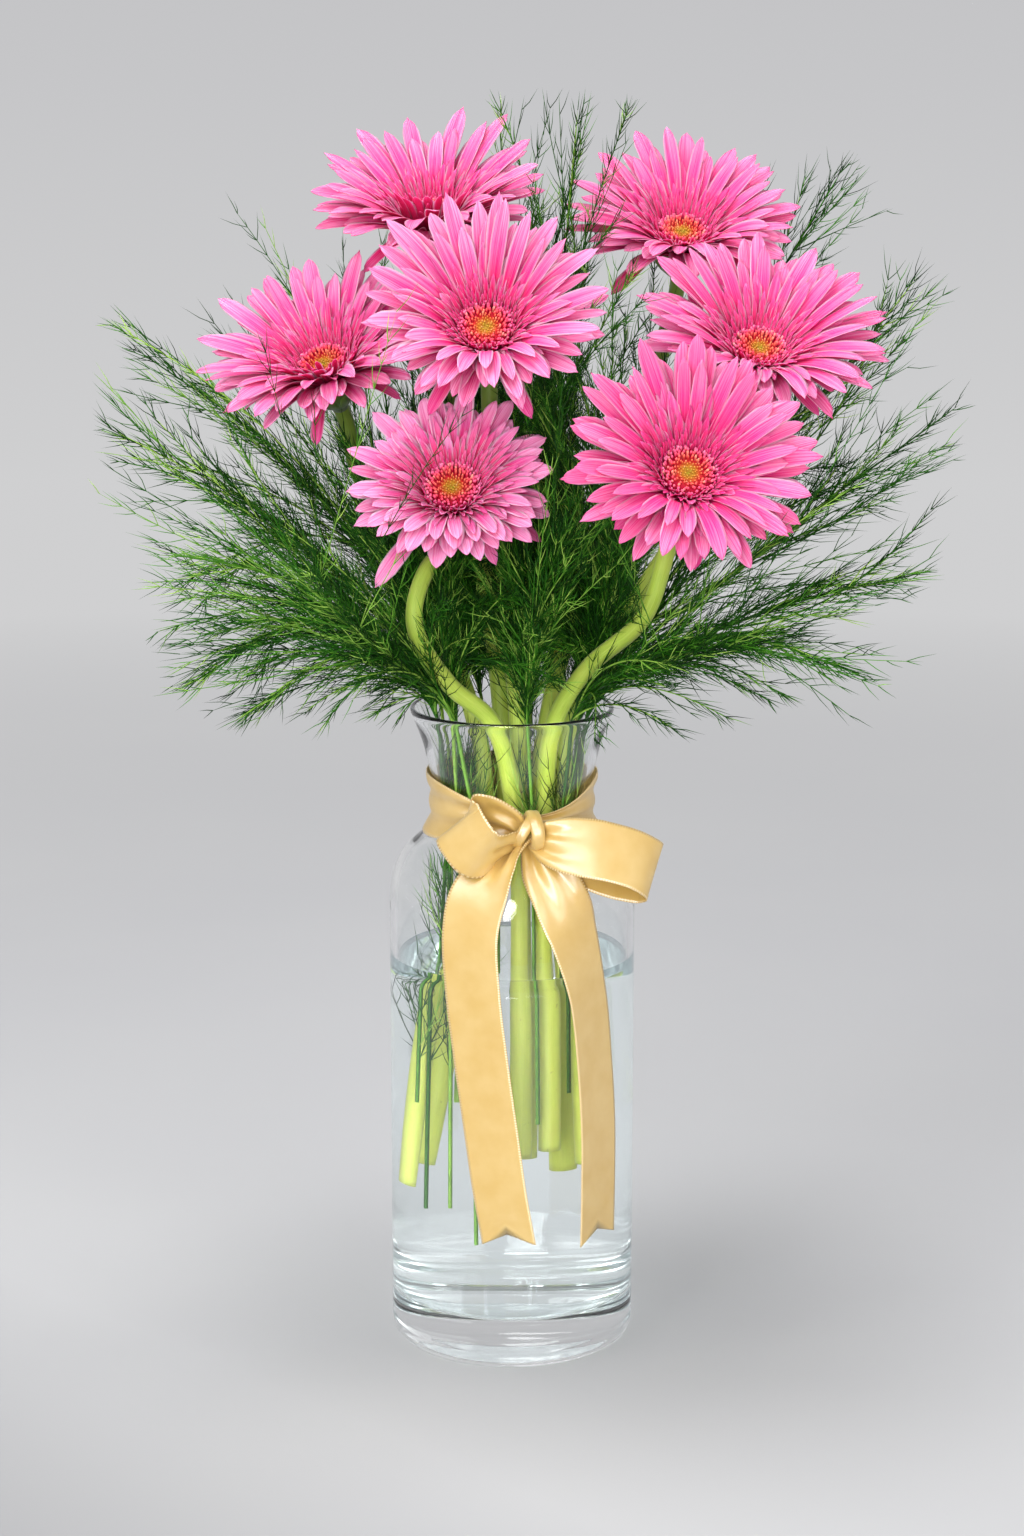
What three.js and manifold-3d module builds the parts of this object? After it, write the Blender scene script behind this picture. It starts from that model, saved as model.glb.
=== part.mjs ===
// Seven pink gerberas and asparagus fern in a tall glass vase of water, with a satin bow at its neck.
// Millimetres, +Z up, the viewer at -Y. The origin is the middle of the vase's flat bottom.
import * as THREE from "three";
import { mergeVertices } from "three/addons/utils/BufferGeometryUtils.js";
import Module from "manifold-3d";

const wasm = await Module();
wasm.setup();

// ---- Sizes ----

const SEED = 20;
const GAP = 0.3; // air left between two pieces that touch

// The glass, turned: radius and height of each ring, up the outside and down the inside.
const VASE_SIDES = 28;
const VASE_OUTSIDE = [
  [44, 0], [48.9, 2.6], [50, 8], [50, 187], [48.4, 198], [43.6, 207.5], [35.6, 214.6],
  [31.9, 221.5], [32.3, 233], [35.8, 250], [41.3, 264.6],
];
const VASE_RIM = [[40.3, 266], [38.6, 265]];
const VASE_INSIDE = [
  [33, 250], [29.5, 233], [29.1, 223], [33.4, 213.2], [41.4, 205], [45.4, 197], [47, 187],
  [47, 28], [43, 21],
];
const GLASS_FLOOR = 20; // height of the inside bottom over the thick base

const WATER_LEVEL = 163.5;

// The ribbon: 25 mm satin, drawn 0.8 mm thick, round the neck and tied in front.
const RIBBON_HALF_WIDTH = 12.5;
const RIBBON_THICK = 0.8;
const BAND_HEIGHT = 227.5; // middle of the band
const BAND_HALF_WIDTH = 11.5;
const BAND_GATHER = 8.5; // taken off the half width behind the knot
const BAND_DROP = 3; // how far its middle falls towards the knot
const BAND_CLEAR = 0.5;
const KNOT = [7.5, -38.8, 224];
const TAIL_NOTCH = 9; // depth of the swallow-tail cut

// Scape of a gerbera.
const SCAPE_SIDES = 7;
const SCAPE_RADIUS = 3.8;
const SCAPE_TOP_RADIUS = 3.3;
const SCAPE_STATIONS = 9; // over the water

// Flower head. Heights are along the flower's own axis, from the seat of its disc.
const HEAD_SEAT_RADIUS = 10.4; // the disc sits on this much of the receptacle
const HEAD_RADIUS = 12.4; // the receptacle's rim, where the petals are rooted
const HEAD_DEPTH = 2.8;
const PETALS_IN_LAYER = 13;
const PETAL_THICK = 0.7;
const PETAL_WIDTH = 8.8;
// Degrees by which each layer starts steeper than its flower's lift, and by how much more on the side
// nearest the viewer, where the petals also curl over more.
const INNER_RISE = 22;
const OUTER_RISE = 2;
const INNER_NEAR_RISE = 14;
const OUTER_NEAR_RISE = 22;
const NEAR_CURL = 20;
const HANGING = { rise: 4, bend: -24, longer: 1.3 }; // the one petal that hangs out
const FLORET_WIDTH = 3;
const FLORET_THICK = 0.6;
const CUP_DEPTH = 17; // green cup of bracts below the receptacle

const DISC_SIDES = 14;
const DISC_RINGS = [2.6, 5, 7.4, 9.2];
const DISC_RADIUS = 10;
const DISC_HEIGHT = 4.4;
const DISC_RELIEF = 0.75;

// Asparagus fern.
const FERN_STEM_RADIUS = 1;
const TWIG_RADIUS = 0.45;
const NEEDLE_RADIUS = 0.3;
const NEEDLE_START = 1.8; // a needle may touch its own twig up to here
const NEEDLE_CLEAR = 0.35; // least room from a needle to anything else
const TWIG_CLEAR = 0.6;
const LONG_TWIG = 30; // a twig over this length has a second fork of needles
const LIP_ROOM = { radius: 52, height: 269 }; // no twig below this height nearer to the axis than this
const LOWEST_TWIG = 255;

// Colour, roughness and metalness of each material.
const GLASS = { color: 0xdfe9ea, roughness: 0.05, metalness: 0, transparent: true, opacity: 0.35 };
const WATER = { color: 0xcfe0e0, roughness: 0.02, metalness: 0, transparent: true, opacity: 0.3 };
const SATIN = { color: 0xe3b04b, roughness: 0.35, metalness: 0 };
const SCAPE_GREEN = { color: 0x8fae3a, roughness: 0.55, metalness: 0 };
const FERN_GREEN = { color: 0x2f6b25, roughness: 0.6, metalness: 0 };
const PINK = { color: 0xee5fa7, roughness: 0.6, metalness: 0 };
const CORAL = { color: 0xd9503f, roughness: 0.7, metalness: 0 };

// The seven flowers. at: middle of the disc's seat. up: degrees by which the face looks up. turn: degrees
// by which it is turned to the viewer's right. reach: radius over the petal tips. lift: degrees by which
// all its petals rise. hanging: number of the petal that hangs out longer than the rest, if there is one.
// scape: the stem from its cut end in the water, through the neck, to below the head.
const FLOWERS = [
  { at: [-10, -30, 419], up: 38, turn: -2, reach: 49, lift: 28, hanging: null,
    scape: [[4, -3, 80], [4.5, -3.5, 150], [3, -4, 221], [2, -5, 265], [-3, -8, 320], [-8, -6, 370]] },
  { at: [-33, 42, 458], up: 60, turn: -12, reach: 48, lift: 26, hanging: null,
    scape: [[-25, 14, 72], [-15, 14, 150], [-3, 13.5, 221], [-5, 19, 265], [-15, 36, 335], [-27, 57, 396]] },
  { at: [-74.5, 10, 401], up: 52, turn: -24, reach: 49, lift: 22, hanging: null,
    scape: [[-35, -3, 66], [-24, 1, 150], [-11, 4, 221], [-17, 7, 265], [-42, 20, 320], [-62, 29, 356]] },
  { at: [-23, -43, 358.5], up: 43, turn: -4, reach: 43, lift: 15, hanging: 17,
    scape: [[3, -19, 84], [3, -19, 150], [1.5, -18, 221], [-7.5, -25, 263], [-25, -33, 281],
      [-38, -41, 306], [-34, -35, 325]] },
  { at: [66, -72, 368], up: 34, turn: 8, reach: 50, lift: 22, hanging: null,
    scape: [[12.5, -15, 86], [12.5, -15, 150], [12.5, -14, 221], [16.5, -22, 262], [29, -31, 286],
      [51, -44, 309], [58.5, -47, 331]] },
  { at: [97, -5, 408.5], up: 51, turn: 10, reach: 52, lift: 20, hanging: null,
    scape: [[23, 1, 76], [21, -1, 150], [19, -3.5, 221], [25, -3, 265], [52, 3, 312], [83, 14, 358]] },
  { at: [70, 67, 450], up: 55, turn: 4, reach: 49, lift: 21, hanging: null,
    scape: [[14, 15, 70], [13, 13, 150], [11, 10, 221], [16, 18, 265], [38, 49, 335], [60, 79, 395]] },
];

// The fern sprays: the number of places where side twigs leave, the length of the longest twig, and the
// path from the cut end to the tip. They pass the neck close to the glass.
const FERNS = [
  [6, 44, [[-27, 9, 96], [-24.5, 9, 221], [-31, 12, 268], [-92, 16, 336], [-162, 12, 377]]],
  [6, 44, [[-25, 17, 110], [-21, 15, 221], [-27, 24, 268], [-92, 48, 358], [-155, 42, 407]]],
  [5, 36, [[-29, -9, 58], [-25, -6, 221], [-33, -7, 268], [-76, -12, 303], [-131, -14, 276]]],
  [5, 32, [[-22, -21, 62], [-20.5, -15.5, 221], [-26, -20, 268], [-64, -32, 292], [-110, -36, 266]]],
  [6, 42, [[-33, -12, 104], [-26, -1, 221], [-33, 0, 268], [-84, -20, 318], [-137, -30, 333]]],
  [6, 44, [[-14, 27, 96], [-12, 23, 221], [-14, 33, 268], [-62, 88, 350], [-88, 110, 420]]],
  [6, 40, [[0, 30, 90], [0, 26, 221], [0, 36, 268], [-1, 80, 380], [-5, 60, 500]]],
  [6, 38, [[7, 28, 112], [6.5, 25, 221], [8, 35, 268], [17, 56, 390], [26, 22, 502]]],
  [6, 42, [[19, 25, 100], [17, 20, 221], [23, 29, 268], [92, 96, 396], [136, 66, 478]]],
  [6, 44, [[25, 16, 108], [22, 13.5, 221], [30, 18, 268], [104, 44, 356], [163, 28, 436]]],
  [6, 44, [[28, 7, 96], [25, 6, 221], [33, 8, 268], [104, 12, 330], [178, 4, 387]]],
  [6, 40, [[28, -8, 102], [25, -4, 221], [33, -6, 268], [98, -16, 306], [163, -18, 323]]],
  [5, 34, [[25, -15, 110], [22.5, -12.5, 221], [29, -17, 268], [82, -30, 299], [141, -28, 283]]],
  [5, 38, [[-13, -26, 48], [-14, -21, 221], [-24, -27, 268], [-52, -62, 300], [-82, -90, 330]]],
  [5, 32, [[9, -28, 100], [8, -24.5, 221], [6, -33, 268], [10, -46, 310], [20, -62, 345]]],
  [5, 38, [[20, -24, 112], [18.5, -19, 221], [25.2, -26, 268], [60, -58, 296], [96, -84, 306]]],
  [6, 44, [[-6, 29, 104], [-6, 25.5, 221], [-8, 35, 268], [-30, 104, 330], [-40, 150, 372]]],
  [6, 44, [[13, 27, 94], [12, 23, 221], [16, 32, 268], [44, 98, 322], [62, 146, 356]]],
].map(([twigs, spread, path]) => ({ twigs, spread, path }));

// ---- Small tools ----

const vec = (x, y, z) => new THREE.Vector3(x, y, z);
const at = (list) => new THREE.Vector3(...list);
const rad = THREE.MathUtils.degToRad;
const mix = (a, b, t) => a.clone().lerp(b, t);

// A seeded draw, the same on every run.
function dice(seed) {
  let state = seed >>> 0;
  return (low, high) => {
    state = (state + 0x6d2b79f5) >>> 0;
    let t = Math.imul(state ^ (state >>> 15), 1 | state);
    t = (t + Math.imul(t ^ (t >>> 7), 61 | t)) ^ t;
    return low + ((((t ^ (t >>> 14)) >>> 0) / 4294967296) * (high - low));
  };
}

// Vertices and triangles of one closed surface, faces outward.
class Shell {
  constructor() {
    this.points = [];
    this.faces = [];
  }
  vertex(p) {
    this.points.push(p.x, p.y, p.z);
    return this.points.length / 3 - 1;
  }
  point(i) {
    return vec(this.points[3 * i], this.points[3 * i + 1], this.points[3 * i + 2]);
  }
  middle(face) {
    return face.reduce((sum, i) => sum.add(this.point(i)), vec(0, 0, 0)).divideScalar(face.length);
  }
  face(a, b, c) {
    this.faces.push(a, b, c);
  }
  quad(a, b, c, d) {
    this.face(a, b, c);
    this.face(a, c, d);
  }
  // A flat cap over a ring that runs anticlockwise seen from outside.
  cap(ring) {
    for (let i = 1; i + 1 < ring.length; i++) this.face(ring[0], ring[i], ring[i + 1]);
  }
  // The wall between two rings, both anticlockwise seen from the second.
  wall(lower, upper) {
    lower.forEach((a, i) => {
      const j = (i + 1) % lower.length;
      this.quad(a, lower[j], upper[j], upper[i]);
    });
  }
  geometry() {
    return new THREE.BufferGeometry()
      .setAttribute("position", new THREE.BufferAttribute(new Float32Array(this.points), 3))
      .setIndex(this.faces);
  }
  solid() {
    return solidOf(this.geometry());
  }
}

// A closed surface as a body that can be joined and cut.
function solidOf(geometry) {
  return new wasm.Manifold(new wasm.Mesh({
    numProp: 3,
    vertProperties: geometry.getAttribute("position").array,
    triVerts: new Uint32Array(geometry.index.array),
  }));
}

function geometryOf(solid) {
  const { numProp, vertProperties, triVerts } = solid.getMesh();
  const position = new Float32Array((vertProperties.length / numProp) * 3);
  for (let i = 0; 3 * i < position.length; i++) {
    position.set(vertProperties.subarray(numProp * i, numProp * i + 3), 3 * i);
  }
  return new THREE.BufferGeometry()
    .setAttribute("position", new THREE.BufferAttribute(position, 3))
    .setIndex(new THREE.BufferAttribute(new Uint32Array(triVerts), 1));
}

function meshOf(name, geometry, look) {
  const made = new THREE.Mesh(geometry, new THREE.MeshStandardMaterial(look));
  made.name = name;
  return made;
}

// A ring of points round a centre, anticlockwise seen from the tip of the axis.
function ringOf(shell, centre, axis, start, radius, sides) {
  const across = start.clone().addScaledVector(axis, -start.dot(axis)).normalize();
  const side = axis.clone().cross(across);
  return Array.from({ length: sides }, (_, i) => {
    const turn = (2 * Math.PI * i) / sides;
    return shell.vertex(centre.clone()
      .addScaledVector(across, radius * Math.cos(turn))
      .addScaledVector(side, radius * Math.sin(turn)));
  });
}

// Rings of one number of sides round a line of points, with a flat cap at each end.
function tube(points, radii, sides) {
  const shell = new Shell();
  let start = vec(1, 0, 0);
  let below = null;
  points.forEach((p, i) => {
    const axis = points[Math.min(i + 1, points.length - 1)].clone()
      .sub(points[Math.max(i - 1, 0)]).normalize();
    start = start.addScaledVector(axis, -start.dot(axis)).normalize();
    const ring = ringOf(shell, p, axis, start, radii[i], sides);
    if (below) shell.wall(below, ring);
    else shell.cap([...ring].reverse());
    below = ring;
  });
  shell.cap(below);
  return shell;
}

// A turned body from a profile of radius and height that starts and ends on the axis.
function turned(profile, sides) {
  const outline = profile.map(([radius, height]) => new THREE.Vector2(radius, height));
  const lathe = new THREE.LatheGeometry(outline, sides);
  lathe.deleteAttribute("normal");
  lathe.deleteAttribute("uv");
  return solidOf(mergeVertices(lathe.rotateX(Math.PI / 2), 1e-3));
}

// ---- What a fern must keep clear of ----

const keepOut = []; // rods: two ends and a radius
const addRod = (a, b, radius) => keepOut.push({ a: a.clone(), b: b.clone(), radius });

// Distance between two straight pieces.
function distance(p, q, a, b) {
  const d1 = q.clone().sub(p), d2 = b.clone().sub(a), r = p.clone().sub(a);
  const e1 = d1.dot(d1), e2 = d2.dot(d2), f = d2.dot(r), c = d1.dot(r), m = d1.dot(d2);
  const den = e1 * e2 - m * m;
  const clamp = (x) => Math.min(1, Math.max(0, x));
  let s = den > 1e-9 ? clamp((m * f - c * e2) / den) : 0;
  const t = clamp((m * s + f) / e2);
  s = clamp((m * t - c) / e1);
  return p.clone().addScaledVector(d1, s).distanceTo(a.clone().addScaledVector(d2, t));
}

// Twigs keep out of the room of the glass lip, and above the bow.
function clearOfVase(p, q) {
  return [0, 0.25, 0.5, 0.75, 1].every((share) => {
    const { x, y, z } = mix(p, q, share);
    return z >= LIP_ROOM.height || (z >= LOWEST_TWIG && Math.hypot(x, y) >= LIP_ROOM.radius);
  });
}

function isClear(p, q, radius, margin) {
  if (!clearOfVase(p, q)) return false;
  return keepOut.every((rod) => distance(p, q, rod.a, rod.b) > radius + rod.radius + margin);
}

// ---- The vase and the water ----

function vaseGlass() {
  const profile = [[0, 0], ...VASE_OUTSIDE, ...VASE_RIM, ...VASE_INSIDE, [0, GLASS_FLOOR]];
  return turned(profile, VASE_SIDES);
}

// Straight-sided water with a plain hole for each stem that stands in it.
function water(holes) {
  const foot = VASE_INSIDE[VASE_INSIDE.length - 1], corner = VASE_INSIDE[VASE_INSIDE.length - 2];
  const profile = [
    [0, GLASS_FLOOR + GAP], [foot[0] - GAP, foot[1] + GAP], [corner[0] - GAP, corner[1]],
    [corner[0] - GAP, WATER_LEVEL], [0, WATER_LEVEL],
  ];
  return holes.reduce((body, hole) => body.subtract(hole), turned(profile, VASE_SIDES));
}

// ---- Gerberas ----

// The flower's own axes: right, up the face, and out of the face.
function axesOf(flower) {
  const up = rad(flower.up), turn = rad(flower.turn);
  const out = vec(Math.sin(turn) * Math.cos(up), -Math.cos(turn) * Math.cos(up), Math.sin(up));
  const right = vec(Math.cos(turn), Math.sin(turn), 0);
  return { right, above: out.clone().cross(right), out };
}

// A place on the flower from its angle round the face, its radius and its height over the seat.
function placeOn(flower, axes, angle, radius, height) {
  return at(flower.at)
    .addScaledVector(axes.right, radius * Math.cos(angle))
    .addScaledVector(axes.above, radius * Math.sin(angle))
    .addScaledVector(axes.out, height);
}

// Stations along the scape, from its cut end into the base of its cup.
function scapeLine(flower) {
  const { out } = axesOf(flower);
  const base = at(flower.at).addScaledVector(out, -HEAD_DEPTH - CUP_DEPTH);
  const bend = base.clone().addScaledVector(out, -9);
  return new THREE.CatmullRomCurve3([...flower.scape.map(at), bend, base], false, "centripetal");
}

function scapeStations(flower) {
  const steps = 60;
  const all = scapeLine(flower).getSpacedPoints(steps);
  const low = all.findIndex((p) => p.z > flower.scape[1][2]);
  const points = [at(flower.scape[0]), at(flower.scape[1])];
  for (let i = 1; i <= SCAPE_STATIONS; i++) {
    points.push(all[low + Math.round(((steps - low) * i) / SCAPE_STATIONS)]);
  }
  const last = points.length - 1;
  const radii = points.map((_, i) => SCAPE_RADIUS + (SCAPE_TOP_RADIUS - SCAPE_RADIUS) * (i / last));
  return { points, radii };
}

// Stem and cup of bracts, grown as one.
function stem(flower) {
  const { points, radii } = scapeStations(flower);
  const { out } = axesOf(flower);
  const base = points[points.length - 1];
  for (const [height, radius] of [[4, 6.2], [10, 10.6], [CUP_DEPTH - GAP, 12]]) {
    points.push(base.clone().addScaledVector(out, height));
    radii.push(radius);
  }
  for (let i = 1; i < points.length; i++) {
    addRod(points[i - 1], points[i], Math.max(radii[i - 1], radii[i]));
  }
  return tube(points, radii, SCAPE_SIDES);
}

// A hole in the water round a stem's foot.
function holeFor(points, radii, sides) {
  const down = points[0].clone().sub(points[1]).normalize();
  const foot = points[0].clone().addScaledVector(down, GAP);
  const line = [foot, ...points.slice(1)];
  return tube(line, radii.map((r) => r + GAP / Math.cos(Math.PI / sides)), sides).solid();
}

// One strap-shaped petal drawn out of the quad [left, right, right above, left above] of the rim. It
// starts at that radius and height and has a ring at each of its shares of the length, with that part of
// the width.
function petal(shell, root, flower, axes, angle, start, spec) {
  const { length, rise, bend, width, roll, thick, shares } = spec;
  let radius = start[0], height = start[1], along = 0;
  let ring = root;
  let slope = rad(rise);
  const centres = [placeOn(flower, axes, angle, radius, height)];
  shares.forEach(([share, part], i) => {
    const step = (share - along) * length;
    slope = rad(rise + bend * (along + share) * 0.5);
    radius += step * Math.cos(slope);
    height += step * Math.sin(slope);
    along = share;
    const centre = placeOn(flower, axes, angle, radius, height);
    centres.push(centre);
    const outward = placeOn(flower, axes, angle, 1, 0).sub(at(flower.at));
    const across = axes.out.clone().cross(outward).normalize();
    const tangent = outward.clone().multiplyScalar(Math.cos(slope))
      .addScaledVector(axes.out, Math.sin(slope));
    across.applyAxisAngle(tangent, rad(roll * share));
    const normal = tangent.clone().cross(across).normalize();
    const corner = (u, v) => shell.vertex(centre.clone()
      .addScaledVector(across, (u * width * part) / 2).addScaledVector(normal, (v * thick) / 2));
    if (i + 1 < shares.length) {
      // below right, below left, above left, above right, seen from the tip
      const next = [corner(-1, -1), corner(1, -1), corner(1, 1), corner(-1, 1)];
      shell.quad(ring[0], ring[1], next[1], next[0]);
      shell.quad(ring[1], ring[2], next[2], next[1]);
      shell.face(ring[2], ring[3], next[2]);
      shell.face(ring[3], next[3], next[2]);
      shell.quad(ring[3], ring[0], next[0], next[3]);
      ring = next;
    } else {
      const low = corner(0, -1), high = corner(0, 1);
      shell.face(ring[0], ring[1], low);
      shell.face(ring[2], ring[3], high);
      shell.quad(ring[1], ring[2], high, low);
      shell.quad(ring[3], ring[0], low, high);
    }
  });
  for (let i = 0; i + 1 < centres.length; i++) {
    const across = placeOn(flower, axes, angle + Math.PI / 2, 1, 0).sub(at(flower.at));
    for (const side of i ? [-0.3, 0.3] : [0]) {
      const shift = across.clone().multiplyScalar(side * width);
      addRod(centres[i].clone().add(shift), centres[i + 1].clone().add(shift), 0.22 * width);
    }
  }
}

// The receptacle with two layers of petals from its rim and a ring of short florets round the disc.
function petals(flower, draw) {
  const axes = axesOf(flower);
  const shell = new Shell();
  const count = 2 * PETALS_IN_LAYER;
  const step = (2 * Math.PI) / count;
  const ringAt = (radius, height) => Array.from({ length: count }, (_, i) =>
    shell.vertex(placeOn(flower, axes, (i - 0.5) * step, radius, height)));
  const floor = ringAt(HEAD_RADIUS, -HEAD_DEPTH);
  const waist = ringAt(HEAD_RADIUS, -HEAD_DEPTH / 2);
  const rim = ringAt(HEAD_RADIUS, 0);
  const seat = ringAt(HEAD_SEAT_RADIUS, 0);
  shell.cap([...floor].reverse());
  shell.cap(seat);
  const reach = flower.reach - HEAD_RADIUS;
  for (let i = 0; i < count; i++) {
    const j = (i + 1) % count;
    const inner = i % 2 === 0;
    const angle = i * step;
    const lower = [floor[i], floor[j], waist[j], waist[i]];
    const upper = [waist[i], waist[j], rim[j], rim[i]];
    const top = [rim[i], rim[j], seat[j], seat[i]];
    const near = Math.max(0, -Math.sin(angle)); // 1 on the side nearest the viewer
    const hangs = i === flower.hanging;
    let rise = flower.lift + (inner ? INNER_RISE + draw(-3, 3) : OUTER_RISE + draw(-4, 3));
    rise += near * (inner ? INNER_NEAR_RISE : OUTER_NEAR_RISE);
    let bend = draw(-34, inner ? -22 : -20) - NEAR_CURL * near;
    if (hangs) ({ rise, bend } = HANGING);
    const spec = {
      length: (reach / Math.cos(rad(rise + bend / 2))) * draw(0.93, 1.04) * (hangs ? HANGING.longer : 1),
      rise, bend, thick: PETAL_THICK,
      width: PETAL_WIDTH * draw(0.92, 1.06),
      roll: draw(-14, 14),
      shares: [[0.36, 0.86], [0.82, 0.92], [1, 0]],
    };
    const middle = [HEAD_RADIUS, inner ? -HEAD_DEPTH / 4 : -0.75 * HEAD_DEPTH];
    petal(shell, inner ? upper : lower, flower, axes, angle, middle, spec);
    shell.quad(...(inner ? lower : upper));
    if (inner) {
      shell.quad(...top);
      continue;
    }
    const floret = {
      length: draw(10, 15), rise: draw(52, 64) + near * INNER_NEAR_RISE, bend: draw(-34, -20),
      roll: draw(-20, 20), width: FLORET_WIDTH, thick: FLORET_THICK, shares: [[0.55, 1], [1, 0]],
    };
    petal(shell, top, flower, axes, angle, [(HEAD_RADIUS + HEAD_SEAT_RADIUS) / 2, 0], floret);
  }
  return shell;
}

// The domed middle, with its florets as a relief of raised and sunk points.
function disc(flower) {
  const axes = axesOf(flower);
  const shell = new Shell();
  const ringAt = (radius, height, shift) => Array.from({ length: DISC_SIDES }, (_, i) =>
    shell.vertex(placeOn(flower, axes, (2 * Math.PI * (i + shift)) / DISC_SIDES, radius, height(i))));
  let below = ringAt(DISC_RADIUS, () => GAP, 0);
  shell.cap([...below].reverse());
  DISC_RINGS.slice().reverse().forEach((radius, k) => {
    const dome = DISC_HEIGHT * (1 - (radius / (DISC_RADIUS + 2)) ** 2) + GAP;
    const ring = ringAt(radius, (i) => dome + ((i + k) % 2 ? DISC_RELIEF : -DISC_RELIEF / 2), 0);
    shell.wall(below, ring);
    below = ring;
  });
  const eye = shell.vertex(placeOn(flower, axes, 0, 0, DISC_HEIGHT - 0.9));
  below.forEach((a, i) => shell.face(a, below[(i + 1) % DISC_SIDES], eye));
  addRod(at(flower.at), placeOn(flower, axes, 0, 0, DISC_HEIGHT), DISC_RADIUS);
  return shell;
}

// ---- The bow ----

// A strip of ribbon through its stations. The last one may have its middle cut back to a notch.
function strip(stations) {
  const shell = new Shell();
  let below = null;
  stations.forEach(({ p, half, notch }, i) => {
    const before = stations[Math.max(i - 1, 0)].p, after = stations[Math.min(i + 1, stations.length - 1)].p;
    const along = after.clone().sub(before).normalize();
    const normal = along.clone().cross(half).normalize();
    const thick = RIBBON_THICK / 2;
    const place = (u, v) => shell.vertex(p.clone().addScaledVector(half, u)
      .addScaledVector(normal, v * thick).addScaledVector(along, u ? 0 : -notch));
    const ring = [place(-1, -1), place(0, -1), place(1, -1), place(1, 1), place(0, 1), place(-1, 1)];
    if (below) {
      shell.quad(below[0], below[1], ring[1], ring[0]);
      shell.quad(below[1], below[2], ring[2], ring[1]);
      shell.quad(below[2], below[3], ring[3], ring[2]);
      shell.face(below[3], below[4], ring[3]);
      shell.face(below[4], ring[4], ring[3]);
      shell.face(below[4], below[5], ring[4]);
      shell.face(below[5], ring[5], ring[4]);
      shell.quad(below[5], below[0], ring[0], ring[5]);
    } else {
      shell.quad(ring[1], ring[0], ring[5], ring[4]);
      shell.quad(ring[2], ring[1], ring[4], ring[3]);
    }
    below = ring;
  });
  shell.quad(below[0], below[1], below[4], below[5]);
  shell.quad(below[1], below[2], below[3], below[4]);
  return shell.solid();
}

// A station of the ribbon: its middle, the way its width runs, and how much of the width is spread there.
const station = (p, way, spread = 1, notch = 0) => ({
  p: at(p), half: at(way).setLength(RIBBON_HALF_WIDTH * spread), notch,
});

// Outside radius of the glass at a height over its straight side.
function glassRadius(height) {
  const k = VASE_OUTSIDE.findIndex(([, z]) => z > height);
  const [r0, z0] = VASE_OUTSIDE[k - 1], [r1, z1] = VASE_OUTSIDE[k];
  return r0 + ((r1 - r0) * (height - z0)) / (z1 - z0);
}

// The band hugs the neck and is drawn together towards the knot in front.
function band() {
  const shell = new Shell();
  const knotTurn = Math.atan(-KNOT[0] / KNOT[1]); // from straight in front, to the right
  const across = [-1, -0.35, 0.35, 1];
  const rings = [...across.map((s) => [s, RIBBON_THICK]), ...across.toReversed().map((s) => [s, 0])]
    .map(([share, lift]) => Array.from({ length: VASE_SIDES }, (_, i) => {
      const turn = (2 * Math.PI * i) / VASE_SIDES;
      const front = Math.max(0, -Math.sin(turn - knotTurn)) ** 3;
      const height = BAND_HEIGHT - BAND_DROP * front + share * (BAND_HALF_WIDTH - BAND_GATHER * front);
      const radius = glassRadius(height) + BAND_CLEAR + lift;
      return shell.vertex(vec(radius * Math.cos(turn), radius * Math.sin(turn), height));
    }));
  rings.forEach((ring, i) => shell.wall(ring, rings[(i + 1) % rings.length]));
  return shell.solid();
}

// The knot: a short roll of ribbon pulled tight, standing upright.
function knot() {
  const [x, y, z] = KNOT;
  const rolls = [[-1, -9, 3], [-0.6, -5.5, 6], [0, 0, 7], [0.4, 5.5, 6], [0, 8.6, 3]];
  return tube(rolls.map(([dx, dz]) => vec(x + dx, y, z + dz)), rolls.map(([, , r]) => r), 8).solid();
}

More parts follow.
